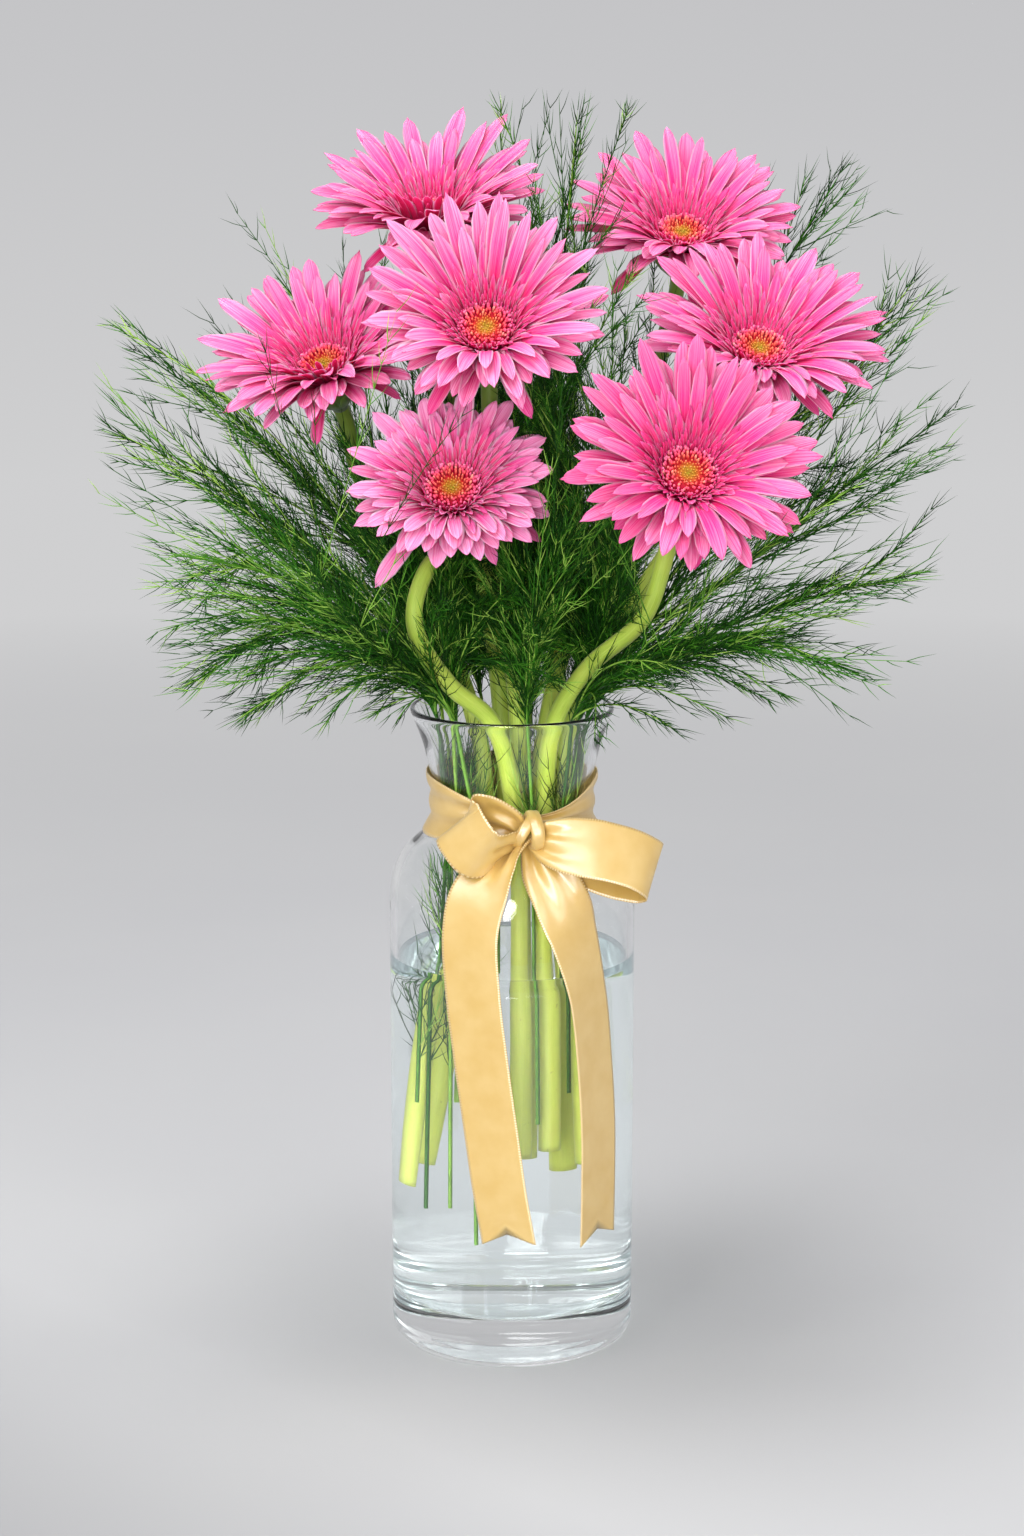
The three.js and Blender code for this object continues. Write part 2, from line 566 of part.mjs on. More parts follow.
function ribbon() {
  const [x, y, z] = KNOT;
  const leftLoop = strip([
    station([3.2, -42, 219.2], [1.6, -0.6, 2.4], 0.4),
    station([-3.8, -51, 218.4], [2.9, -2.4, 5.4], 0.8),
    station([-13.9, -54.5, 218.5], [5.3, -3.5, 11]),
    station([-19, -52.5, 224.5], [8.1, -3.5, 10.2]),
    station([-20.9, -49, 228.1], [9.4, -3.5, 9.4]),
    station([-18.7, -45.2, 229.6], [9.4, -3.8, 8.6]),
    station([-12.4, -43.8, 229.5], [8.6, -2.8, 6.5], 0.95),
    station([-2.8, -42.5, 227], [3.9, -1.5, 4], 0.65),
    station([2.8, -41, 223], [1.6, -0.5, 2.5], 0.4),
  ]);
  const rightLoop = strip([
    station([8.3, -42.5, 221.4], [0, 1, 3.5], 0.4),
    station([13, -47, 220.8], [0, 2.4, 6.2], 0.68),
    station([21.1, -51, 220.1], [0, 4.5, 8.6], 0.9),
    station([36, -53.6, 218.4], [0, 6.6, 9.6]),
    station([51.5, -52, 213], [2.2, 7, 9.5]),
    station([56.1, -46.5, 208], [3.4, 7, 9.3]),
    station([53.1, -42, 206], [3.4, 7, 9.6]),
    station([44.2, -41, 207.2], [2.4, 6.6, 9.8]),
    station([32.8, -41.5, 210.8], [2, 5.5, 9.4], 0.96),
    station([22.1, -42, 215.8], [0.8, 3.2, 6.6], 0.72),
    station([11, -40.5, 220.1], [0, 1, 3.5], 0.4),
  ]);
  const leftTail = strip([
    station([x - 1, y - 0.5, z - 3], [-3.5, 0, -3], 0.4),
    station([-4, -47.5, 212], [-8, 1, -6], 0.82),
    station([-13, -51.5, 200], [-10.6, 4, -3]),
    station([-16.5, -53, 185], [-10.9, 6, 0]),
    station([-15, -53.5, 155], [-10.8, 6, 0]),
    station([-9, -54.6, 110], [-10.8, 6, 0.8]),
    station([-5.2, -55.5, 80], [-10.8, 6, 1]),
    station([-1.2, -56.1, 57], [-10.8, 6, 0.8], 1, TAIL_NOTCH),
  ]);
  const rightTail = strip([
    station([x + 0.5, y - 0.5, z - 4], [4, 0, 2], 0.4),
    station([13, -48.5, 210], [8.5, 0, 5], 0.8),
    station([19, -52.5, 199], [10, 3, 3], 0.9),
    station([24, -53, 185], [8.6, 8, 1.6]),
    station([30.5, -52.5, 155], [7, 10, 0]),
    station([34.1, -52, 110], [6.8, 10.2, 0]),
    station([34.5, -52, 82], [6.8, 10.2, 0]),
    station([34.2, -52, 58], [6.8, 10.2, 0], 1, TAIL_NOTCH),
  ]);
  return [knot(), leftLoop, rightLoop, leftTail, rightTail].reduce((all, part) => all.add(part), band());
}

// ---- Asparagus fern ----

// Six triangles of the wall between two rings of three.
function wallFaces(lower, upper) {
  return [0, 1, 2].flatMap((i) => {
    const j = (i + 1) % 3;
    return [[lower[i], lower[j], upper[j]], [lower[i], upper[j], upper[i]]];
  });
}

// A three-sided shoot drawn out of one triangle, along a line of points to a sharp tip.
// Each bud is [index of the point it sits at, its length, how to fill one of its triangles].
function shoot(shell, face, points, radii, buds) {
  let ring = face;
  let start = shell.point(face[0]).sub(shell.middle(face));
  const last = points.length - 1;
  for (let i = 0; i < last; i++) {
    const axis = points[i + 1].clone().sub(points[i]).normalize();
    start = start.clone().addScaledVector(axis, -start.dot(axis)).normalize();
    if (i > 0) {
      const next = ringOf(shell, points[i], axis, start, radii[i], 3);
      wallFaces(ring, next).forEach((f) => shell.face(...f));
      ring = next;
    }
    const bud = buds.get(i);
    if (bud) {
      const end = points[i].clone().addScaledVector(axis, bud.length);
      const next = ringOf(shell, end, axis, start, radii[i], 3);
      wallFaces(ring, next).forEach((f, k) => {
        if (!bud.fill(f, k, axis)) shell.face(...f);
      });
      ring = next;
    }
  }
  const tip = shell.vertex(points[last]);
  ring.forEach((a, i) => shell.face(a, ring[(i + 1) % 3], tip));
}

// A spike out of one triangle.
function spike(shell, face, tip) {
  const top = shell.vertex(tip);
  face.forEach((a, i) => shell.face(a, face[(i + 1) % 3], top));
}

// The way a triangle of a shoot faces, square to the shoot.
function facing(shell, face, axis) {
  const [a, b, c] = face.map((i) => shell.point(i));
  const normal = b.clone().sub(a).cross(c.clone().sub(a));
  return normal.addScaledVector(axis, -normal.dot(axis)).normalize();
}

// Up to three needles in a fork round a twig.
function needles(shell, draw, length) {
  return (face, k, axis) => {
    if (k % 2) return false;
    const root = shell.middle(face);
    const out = facing(shell, face, axis);
    const lean = rad(draw(30, 42));
    const way = axis.clone().multiplyScalar(Math.cos(lean)).addScaledVector(out, Math.sin(lean));
    for (const share of [1, 0.6]) {
      const tip = root.clone().addScaledVector(way, length * share * draw(0.8, 1.15));
      const from = root.clone().addScaledVector(way, NEEDLE_START);
      if (!isClear(from, tip, NEEDLE_RADIUS, NEEDLE_CLEAR)) continue;
      addRod(root, tip, NEEDLE_RADIUS);
      spike(shell, face, tip);
      return true;
    }
    return false;
  };
}

// A side twig with forks of needles, bent upward, or nothing where there is no room.
function twig(shell, draw, face, axis, length) {
  const root = shell.middle(face);
  const out = facing(shell, face, axis);
  const droop = vec(0, 0, draw(-0.25, 0.3));
  for (const share of [1, 0.72, 0.48, 0.3]) {
    for (const swing of [0, 22, -22]) {
      const lean = rad(draw(38, 56) + swing * 0.4);
      const way = axis.clone().multiplyScalar(Math.cos(lean)).addScaledVector(out, Math.sin(lean))
        .applyAxisAngle(axis, rad(swing));
      const full = length * share;
      const line = [0.42, 0.76, 1].map((t) => root.clone().addScaledVector(way, full * t)
        .addScaledVector(axis, 0.16 * full * t * t).addScaledVector(droop, 0.3 * full * t * t));
      const from = root.clone().addScaledVector(way, 3);
      const pieces = [[from, line[0]], [line[0], line[1]], [line[1], line[2]]];
      if (!pieces.every(([p, q]) => isClear(p, q, TWIG_RADIUS, TWIG_CLEAR))) continue;
      pieces[0][0] = root;
      pieces.forEach(([p, q]) => addRod(p, q, TWIG_RADIUS));
      const size = Math.min(10, 4 + full * 0.18);
      const buds = new Map([[1, { length: 0.9, fill: needles(shell, draw, size) }]]);
      if (full > LONG_TWIG) buds.set(2, { length: 0.8, fill: needles(shell, draw, size * 0.8) });
      const points = full > LONG_TWIG ? [root, ...line] : [root, line[0], line[2]];
      shoot(shell, face, points, [TWIG_RADIUS, TWIG_RADIUS, TWIG_RADIUS * 0.85, 0], buds);
      return true;
    }
  }
  return false;
}

// Points of a fern's own stem: straight through the water and the neck, then along a curve to the tip.
function fernLine(fern) {
  const path = fern.path.map(at);
  const curve = new THREE.CatmullRomCurve3(path.slice(1), false, "centripetal");
  const over = curve.getSpacedPoints(120);
  const rim = over.findIndex((p) => p.z > 262);
  const rest = over.slice(rim);
  const places = fern.twigs + 2;
  const line = [path[0], path[1]];
  for (let i = 0; i <= places; i++) line.push(rest[Math.round(((rest.length - 1) * i) / places)]);
  return line;
}

function fernRadii(line) {
  return line.map((_, i) => FERN_STEM_RADIUS * (1 - 0.55 * Math.max(0, (i - 2) / (line.length - 2))));
}

// One spray: its stem with side twigs in twos and threes, shorter towards the tip.
function fernSpray(fern, draw) {
  const line = fernLine(fern), radii = fernRadii(line);
  const shell = new Shell();
  const axis = line[1].clone().sub(line[0]).normalize();
  const foot = ringOf(shell, line[0], axis, vec(1, 0, 0), radii[0], 3);
  shell.cap([...foot].reverse());
  const buds = new Map();
  for (let i = 4; i < line.length - 1; i++) {
    const share = (i - 3) / (line.length - 4);
    const length = fern.spread * (i % 2 ? 0.8 : 1) * (1 - 0.72 * share) * Math.min(1, 0.55 + share * 2);
    const pick = i % 2 ? [0, 3] : [2, 5];
    buds.set(i, {
      length: 1.3,
      fill: (face, k, way) => pick.includes(k) && twig(shell, draw, face, way, length * draw(0.85, 1.15)),
    });
  }
  shoot(shell, foot, line, radii, buds);
  return shell;
}

// ---- The whole ----

const whole = new THREE.Group();
const draw = dice(SEED);
const holes = [];

FLOWERS.forEach((flower, i) => {
  const { points, radii } = scapeStations(flower);
  const wet = points.findIndex((p) => p.z > WATER_LEVEL + 1) + 1;
  holes.push(holeFor(points.slice(0, wet), radii.slice(0, wet), SCAPE_SIDES));
  whole.add(meshOf(`stem_${i + 1}`, stem(flower).geometry(), SCAPE_GREEN));
  whole.add(meshOf(`petals_${i + 1}`, petals(flower, draw).geometry(), PINK));
  whole.add(meshOf(`disc_${i + 1}`, disc(flower).geometry(), CORAL));
});

FERNS.forEach((fern) => {
  const line = fernLine(fern), radii = fernRadii(line);
  holes.push(holeFor(line.slice(0, 2), radii.slice(0, 2), 3));
  for (let i = 1; i + 1 < line.length; i++) addRod(line[i], line[i + 1], radii[i]);
});
FERNS.forEach((fern, i) => {
  const name = `fern_${String(i + 1).padStart(2, "0")}`;
  whole.add(meshOf(name, fernSpray(fern, draw).geometry(), FERN_GREEN));
});

whole.add(meshOf("vase", geometryOf(vaseGlass()), GLASS));
whole.add(meshOf("water", geometryOf(water(holes)), WATER));
whole.add(meshOf("ribbon", geometryOf(ribbon()), SATIN));

export default whole;
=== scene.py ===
"""Seven pink gerberas and asparagus fern in a tall glass vase of water, with a satin bow at its neck.

Points are in millimetres, +Z up, the viewer at -Y and the origin at the middle of the vase's flat bottom.
They become metres when a piece's mesh is made. The studio is in metres throughout.
"""

import math

import bpy
import numpy as np
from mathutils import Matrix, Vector
from mathutils.bvhtree import BVHTree


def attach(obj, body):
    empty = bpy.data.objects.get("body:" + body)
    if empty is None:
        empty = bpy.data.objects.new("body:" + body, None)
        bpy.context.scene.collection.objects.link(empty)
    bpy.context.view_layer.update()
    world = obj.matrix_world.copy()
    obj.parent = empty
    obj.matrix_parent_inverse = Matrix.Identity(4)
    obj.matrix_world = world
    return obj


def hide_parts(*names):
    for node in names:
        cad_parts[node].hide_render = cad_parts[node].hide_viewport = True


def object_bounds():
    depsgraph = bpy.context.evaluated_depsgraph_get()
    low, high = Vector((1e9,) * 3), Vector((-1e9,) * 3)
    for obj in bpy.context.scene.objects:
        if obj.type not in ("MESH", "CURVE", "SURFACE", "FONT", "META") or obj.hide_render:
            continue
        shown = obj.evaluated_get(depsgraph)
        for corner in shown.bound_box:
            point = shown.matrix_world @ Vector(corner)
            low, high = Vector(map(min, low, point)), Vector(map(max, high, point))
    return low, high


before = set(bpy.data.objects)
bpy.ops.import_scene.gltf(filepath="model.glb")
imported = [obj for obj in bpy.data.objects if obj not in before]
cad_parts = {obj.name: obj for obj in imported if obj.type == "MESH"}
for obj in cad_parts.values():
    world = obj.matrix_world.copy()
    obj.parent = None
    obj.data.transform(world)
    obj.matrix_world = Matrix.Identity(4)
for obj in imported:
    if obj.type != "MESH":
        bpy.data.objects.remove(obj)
cad_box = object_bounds()
MM = 0.001
TAU = 2 * math.pi

# ---- Sizes, as in the solids ----

SEED = 20
WATER_LEVEL = 163.5
RIBBON_HALF_WIDTH = 12.5
HEAD_RADIUS, HEAD_SEAT_RADIUS, HEAD_DEPTH, CUP_DEPTH = 12.4, 10.4, 2.8, 17
PETALS_IN_LAYER, PETAL_WIDTH = 13, 8.8
# Degrees by which the petals nearest the viewer start steeper, in either layer, and curl over more.
INNER_NEAR_RISE, OUTER_NEAR_RISE, NEAR_CURL = 14, 22, 20
# Rise and bend of a petal that hangs, and how much longer it is.
HANGING_RISE, HANGING_BEND, HANGING_STRETCH = 4, -24, 1.3
DISC_RADIUS, DISC_HEIGHT = 10, 4.4
SCAPE_RADIUS, SCAPE_TOP_RADIUS = 3.8, 3.3

# at: middle of the disc's seat. up and turn: where the face looks, in degrees. reach: over the petal tips.
# lift: rise of the petals, in degrees. hanging: number of a petal that hangs. deep: how deep the pink is, and
# below 0 how much paler the petals are painted, as painted light for a head in shade.
# veil: degrees by which the short petals nearest the viewer stand up before the disc, where not VEIL.
# scape: the stem from its cut end to below the head.
VEIL = 8
FLOWERS = [
    dict(at=(-10, -30, 419), up=38, turn=-2, reach=49, lift=28, deep=0.1,
         scape=[(4, -3, 80), (4.5, -3.5, 150), (3, -4, 221), (2, -5, 265), (-3, -8, 320), (-8, -6, 370)]),
    dict(at=(-33, 42, 458), up=60, turn=-12, reach=48, lift=26, deep=0.3, veil=38,
         scape=[(-25, 14, 72), (-15, 14, 150), (-3, 13.5, 221), (-5, 19, 265), (-15, 36, 335),
                (-27, 57, 396)]),
    dict(at=(-74.5, 10, 401), up=52, turn=-24, reach=49, lift=22, deep=0.35, veil=24,
         scape=[(-35, -3, 66), (-24, 1, 150), (-11, 4, 221), (-17, 7, 265), (-42, 20, 320), (-62, 29, 356)]),
    # This head lies in the shade of the one above. Its deep below 0 paints its petals paler: painted light.
    dict(at=(-23, -43, 358.5), up=43, turn=-4, reach=43, lift=15, hanging=17, deep=-0.7,
         scape=[(3, -19, 84), (3, -19, 150), (1.5, -18, 221), (-7.5, -25, 263), (-25, -33, 281),
                (-38, -41, 306), (-34, -35, 325)]),
    dict(at=(66, -72, 368), up=34, turn=8, reach=50, lift=22, deep=1.0,
         scape=[(12.5, -15, 86), (12.5, -15, 150), (12.5, -14, 221), (16.5, -22, 262), (29, -31, 286),
                (51, -44, 309), (58.5, -47, 331)]),
    dict(at=(97, -5, 408.5), up=51, turn=10, reach=52, lift=20, deep=0.5,
         scape=[(23, 1, 76), (21, -1, 150), (19, -3.5, 221), (25, -3, 265), (52, 3, 312), (83, 14, 358)]),
    dict(at=(70, 67, 450), up=55, turn=4, reach=49, lift=21, deep=0.6,
         scape=[(14, 15, 70), (13, 13, 150), (11, 10, 221), (16, 18, 265), (38, 49, 335), (60, 79, 395)]),
]

# Each fern spray from its cut end through the neck and the rim to its tip, and its longest side twig.
FERNS = [
    ([(-27, 9, 96), (-24.5, 9, 221), (-31, 12, 268), (-92, 16, 336), (-162, 12, 377)], 44),
    ([(-25, 17, 110), (-21, 15, 221), (-27, 24, 268), (-92, 48, 358), (-155, 42, 407)], 44),
    ([(-29, -9, 58), (-25, -6, 221), (-33, -7, 268), (-76, -12, 303), (-131, -14, 276)], 36),
    ([(-22, -21, 62), (-20.5, -15.5, 221), (-26, -20, 268), (-64, -32, 292), (-110, -36, 266)], 32),
    ([(-33, -12, 104), (-26, -1, 221), (-33, 0, 268), (-84, -20, 318), (-137, -30, 333)], 42),
    ([(-14, 27, 96), (-12, 23, 221), (-14, 33, 268), (-62, 88, 350), (-88, 110, 420)], 44),
    ([(0, 30, 90), (0, 26, 221), (0, 36, 268), (-1, 80, 380), (-5, 60, 500)], 40),
    ([(7, 28, 112), (6.5, 25, 221), (8, 35, 268), (17, 56, 390), (26, 22, 502)], 38),
    ([(19, 25, 100), (17, 20, 221), (23, 29, 268), (92, 96, 396), (136, 66, 478)], 42),
    ([(25, 16, 108), (22, 13.5, 221), (30, 18, 268), (104, 44, 356), (163, 28, 436)], 44),
    ([(28, 7, 96), (25, 6, 221), (33, 8, 268), (104, 12, 330), (178, 4, 387)], 44),
    ([(28, -8, 102), (25, -4, 221), (33, -6, 268), (98, -16, 306), (163, -18, 323)], 40),
    ([(25, -15, 110), (22.5, -12.5, 221), (29, -17, 268), (82, -30, 299), (141, -28, 283)], 34),
    ([(-13, -26, 48), (-14, -21, 221), (-24, -27, 268), (-52, -62, 300), (-82, -90, 330)], 38),
    ([(9, -28, 100), (8, -24.5, 221), (6, -33, 268), (10, -46, 310), (20, -62, 345)], 32),
    ([(20, -24, 112), (18.5, -19, 221), (25.2, -26, 268), (60, -58, 296), (96, -84, 306)], 38),
    ([(-6, 29, 104), (-6, 25.5, 221), (-8, 35, 268), (-30, 104, 330), (-40, 150, 372)], 44),
    ([(13, 27, 94), (12, 23, 221), (16, 32, 268), (44, 98, 322), (62, 146, 356)], 44),
]

# ---- Small tools ----


def vec(*p):
    return np.array(p, float)


def unit(v):
    """v at length 1, along its last axis."""
    return v / np.maximum(np.linalg.norm(v, axis=-1, keepdims=True), 1e-9)


def square_to(side, way):
    """side turned square to way, at length 1."""
    return unit(side - (side * way).sum(-1, keepdims=True) * way)


def colour(r, g, b):
    """A colour of 0 to 255 as the shader's own numbers, by the curve of screens."""
    return (*(c / 3294.6 if c <= 10 else ((c / 255 + 0.055) / 1.055) ** 2.4 for c in (r, g, b)), 1)


def spline(points, t):
    """Points of a smooth centripetal curve through these points, at shares t of its own steps."""
    p = np.array(points, float)
    p = np.concatenate([[2 * p[0] - p[1]], p, [2 * p[-1] - p[-2]]])
    t = np.asarray(t, float) * (len(p) - 3)
    i = np.minimum(t.astype(int), len(p) - 4)
    w = (t - i)[:, None]
    a, b, c, d = (p[i + k] for k in range(4))
    ga, gb, gc = (np.maximum(np.linalg.norm(v - u, axis=1, keepdims=True) ** 0.5, 1e-4)
                  for u, v in ((a, b), (b, c), (c, d)))
    start = ((b - a) / ga - (c - a) / (ga + gb) + (c - b) / gb) * gb
    end = ((c - b) / gb - (d - b) / (gb + gc) + (d - c) / gc) * gb
    return b + start * w + (3 * (c - b) - 2 * start - end) * w**2 + (2 * (b - c) + start + end) * w**3


def travel(line):
    """How far along a line each of its points lies."""
    return np.concatenate([[0], np.cumsum(np.linalg.norm(np.diff(line, axis=0), axis=1))])


def spaced(line, count):
    """The line again as count points, evenly apart."""
    along = travel(line)
    at = np.linspace(0, along[-1], count)
    return np.stack([np.interp(at, along, line[:, k]) for k in range(3)], 1)


def length_of(line):
    return float(np.linalg.norm(np.diff(line, axis=0), axis=1).sum())


def dice(seed):
    """The same seeded draw as the solids use, so that the petals come out the same."""
    whole, state = 0xFFFFFFFF, [seed]

    def draw(low, high):
        state[0] = s = (state[0] + 0x6D2B79F5) & whole
        t = ((s ^ (s >> 15)) * (1 | s)) & whole
        t = ((t + (((t ^ (t >> 7)) * (61 | t)) & whole)) & whole) ^ t
        return low + ((t ^ (t >> 14)) & whole) / 4294967296 * (high - low)

    return draw


def grid(rows, columns, wrap):
    """Quads over rows of points. wrap joins the end of each row to its start."""
    i, j = np.meshgrid(np.arange(rows - 1), np.arange(columns if wrap else columns - 1), indexing="ij")
    a, b = i * columns + j, i * columns + (j + 1) % columns
    return np.stack([a, b, b + columns, a + columns], -1).reshape(-1, 4)


class Piece:
    """Points and faces gathered into one mesh. Each point carries four marks for its material."""

    def __init__(self):
        self.points, self.faces, self.marks, self.count = [], [], [], 0

    def add(self, points, faces, marks):
        """faces index these points. A triangle has -1 as its fourth corner."""
        points, faces = np.asarray(points, float).reshape(-1, 3), np.asarray(faces, int).reshape(-1, 4)
        self.points.append(points)
        self.marks.append(np.broadcast_to(marks, (len(points), 4)))
        self.faces.append(np.where(faces < 0, -1, faces + self.count))
        self.count += len(points)

    def rings(self, rings, marks, cap=(True, True)):
        """A wall through rings of points (n, sides, 3), anticlockwise seen from the last.

        cap says which of its two ends are fanned shut.
        """
        n, sides = rings.shape[:2]
        faces = [grid(n, sides, True)]
        points, marks = rings.reshape(-1, 3), np.broadcast_to(marks, (n, sides, 4)).reshape(-1, 4)
        for end, wanted in ((0, cap[0]), (n - 1, cap[1])):
            if not wanted:
                continue
            middle = len(points)
            points = np.concatenate([points, rings[end].mean(0)[None]])
            marks = np.concatenate([marks, marks[end * sides][None]])
            a = end * sides + np.arange(sides)
            b = end * sides + (np.arange(sides) + 1) % sides
            fan = [a, b] if end else [b, a]
            faces.append(np.stack([*fan, np.full(sides, middle), np.full(sides, -1)], 1))
        self.add(points, np.concatenate(faces), marks)

    def data(self):
        return np.concatenate(self.points), np.concatenate(self.faces), np.concatenate(self.marks)

    def build(self, name, look, slot, *nodes):
        points, faces, marks = self.data()
        sizes = np.where(faces[:, 3] < 0, 3, 4)
        corners = faces[faces >= 0]
        starts = np.concatenate([[0], np.cumsum(sizes)[:-1]])
        mesh = bpy.data.meshes.new(name)
        mesh.vertices.add(len(points))
        mesh.vertices.foreach_set("co", (points * MM).astype(np.float32).ravel())
        mesh.loops.add(len(corners))
        mesh.loops.foreach_set("vertex_index", corners.astype(np.int32))
        mesh.polygons.add(len(faces))
        mesh.polygons.foreach_set("loop_start", starts.astype(np.int32))
        kept = mesh.attributes.new("marks", "FLOAT_COLOR", "POINT")
        kept.data.foreach_set("color", marks.astype(np.float32).ravel())
        mesh.update(calc_edges=True)
        mesh.validate()
        mesh.shade_smooth()
        made = bpy.data.objects.new(name, mesh)
        bpy.context.scene.collection.objects.link(made)
        mesh.materials.append(look)
        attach(made, "root")
        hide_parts(*nodes)
        return made


def frames(line):
    """Two directions square to a line at each of its points, without twist. line is (n, 3) or (m, n, 3)."""
    line = np.asarray(line, float)
    one = line.ndim == 2
    line = line[None] if one else line
    along = unit(np.gradient(line, axis=1))
    side = np.where(np.abs(along[:, 0, 2:]) > 0.9, vec(1, 0, 0), vec(0, 0, 1))
    sides = np.empty_like(line)
    for k in range(line.shape[1]):
        side = square_to(side, along[:, k])
        sides[:, k] = side
    ups = np.cross(along, sides)
    return (sides[0], ups[0]) if one else (sides, ups)


def tube(line, radii, sides, swell=1.0):
    """Rings round a line. swell is a factor on the radius, or one for each side."""
    a, b = frames(line)
    turn = (np.arange(sides) * TAU / sides)[:, None]
    r = np.asarray(radii, float)[:, None] * swell
    return line[:, None] + r[..., None] * (a[:, None] * np.cos(turn) + b[:, None] * np.sin(turn))


# ---- Materials ----


class Look:
    """A material of nodes round one Principled shader. Plain colours are given as (r, g, b) of 0 to 255."""

    def __init__(self, name, **values):
        self.material = bpy.data.materials.new(name)
        self.material.use_nodes = True
        self.tree = self.material.node_tree
        self.skin = self.tree.nodes["Principled BSDF"]
        for key, value in values.items():
            self.skin.inputs[key.replace("_", " ")].default_value = value

    def node(self, kind, values=(), **settings):
        made = self.tree.nodes.new("ShaderNode" + kind)
        for key, value in settings.items():
            setattr(made, key, value)
        for key, value in dict(values).items():
            self.feed(value, made.inputs[key])
        return made

    def feed(self, value, socket):
        if isinstance(value, bpy.types.NodeSocket):
            self.tree.links.new(value, socket)
        else:
            socket.default_value = value

    def set(self, key, value):
        self.feed(value, self.skin.inputs[key])

    def marks(self):
        """The four marks of the piece's points."""
        read = self.node("Attribute", attribute_name="marks")
        split = self.node("SeparateColor", {0: read.outputs["Color"]})
        return [*split.outputs, read.outputs["Alpha"]]

    def math(self, operation, *values):
        return self.node("Math", enumerate(values), operation=operation).outputs[0]

    def times(self, a, b):
        return self.math("MULTIPLY", a, b)

    def off_middle(self, share):
        """How far a share is from a half."""
        return self.math("ABSOLUTE", self.math("SUBTRACT", share, 0.5))

    def mix(self, share, a, b):
        a, b = (colour(*c) if isinstance(c, tuple) else c for c in (a, b))
        return self.node("Mix", {0: share, 6: a, 7: b}, data_type="RGBA").outputs[2]

    def ramp(self, share, *stops):
        """A colour for each share. A stop is its place and the r, g and b there."""
        made = self.node("ValToRGB", {0: share})
        elements = made.color_ramp.elements
        while len(elements) < len(stops):
            elements.new(0.5)
        for element, (place, *tone) in zip(elements, stops):
            element.position, element.color = place, colour(*tone)
        return made.outputs[0]

    def span(self, value, a, b, c=0.0, d=1.0):
        """value from the range a to b, as c to d."""
        return self.node("MapRange", {0: value, 1: a, 2: b, 3: c, 4: d}).outputs[0]

    def place(self, x=None, y=None, z=None):
        """A place for a texture: the point itself in metres, or one made of three numbers."""
        if x is None:
            return self.node("NewGeometry").outputs["Position"]
        return self.node("CombineXYZ", {0: x, 1: y, 2: z}).outputs[0]

    def noise(self, place, scale, detail=3.0, roughness=0.5):
        values = {"Vector": place, "Scale": scale, "Detail": detail, "Roughness": roughness}
        return self.node("TexNoise", values).outputs[0]

    def bands(self, place, scale, values=()):
        """Soft stripes across the place's x."""
        values = {"Vector": place, "Scale": scale, **dict(values)}
        return self.node("TexWave", values, bands_direction="X").outputs[1]

    def bump(self, height, strength, distance):
        made = self.node("Bump", {"Strength": strength, "Distance": distance, "Height": height})
        self.set("Normal", made.outputs[0])

    def clear_to_lamps(self, tint):
        """Lets lamps through, as clear glass does, without bent light."""
        out = self.tree.nodes["Material Output"]
        lamp = self.node("LightPath").outputs["Is Shadow Ray"]
        film = self.node("BsdfTransparent", {0: tint}).outputs[0]
        made = self.node("MixShader", {0: lamp, 1: self.skin.outputs[0], 2: film})
        self.tree.links.new(made.outputs[0], out.inputs[0])


def petal_look():
    """Marks: across, along, depth of pink, upper side."""
    look = Look("gerbera_petal", Roughness=0.5, Specular_IOR_Level=0.07, Subsurface_Weight=0.4,
                Subsurface_Radius=(1, 0.3, 0.5), Subsurface_Scale=0.0015)
    across, along, deep, upper = look.marks()
    body = look.ramp(along, (0.0, 148, 0, 32), (0.12, 194, 0, 62), (0.32, 220, 5, 100),
                     (0.6, 231, 70, 153), (1.0, 242, 156, 202))
    # Veins run lengthways, and differ from petal to petal.
    streak = look.noise(look.place(look.math("MULTIPLY_ADD", across, 17.0, look.times(deep, 90.0)),
                                   look.times(along, 1.1), deep), 1.0, 4.0, 0.6)
    veined = look.mix(look.span(streak, 0.4, 0.63), (208, 10, 102), (250, 192, 222))
    body = look.mix(look.times(along, 0.6), body, veined)
    # Pale edges, then the deeper petals, and the paler petals of a head whose depth is below 0: painted
    # light, lifting a head that lies in shade.
    edge = look.span(look.off_middle(across), 0.36, 0.49)
    edge = look.times(edge, look.span(along, 0.08, 0.42, 0.0, 0.8))
    body = look.mix(edge, body, (254, 200, 222))
    body = look.mix(look.span(deep, 0.0, 1.0, 0.0, 0.5), body, (226, 20, 114))
    body = look.mix(look.times(look.span(deep, -0.5, 0.0, 0.6, 0.0), along), body, (255, 170, 214))
    # The underside: a muted pink, made darker still as painted shade.
    under = look.mix(along, (160, 4, 50), (212, 52, 118))
    look.set("Base Color", look.mix(look.span(upper, 0.3, 0.6), under, body))
    look.bump(streak, 0.5, 0.0006)
    return look.material


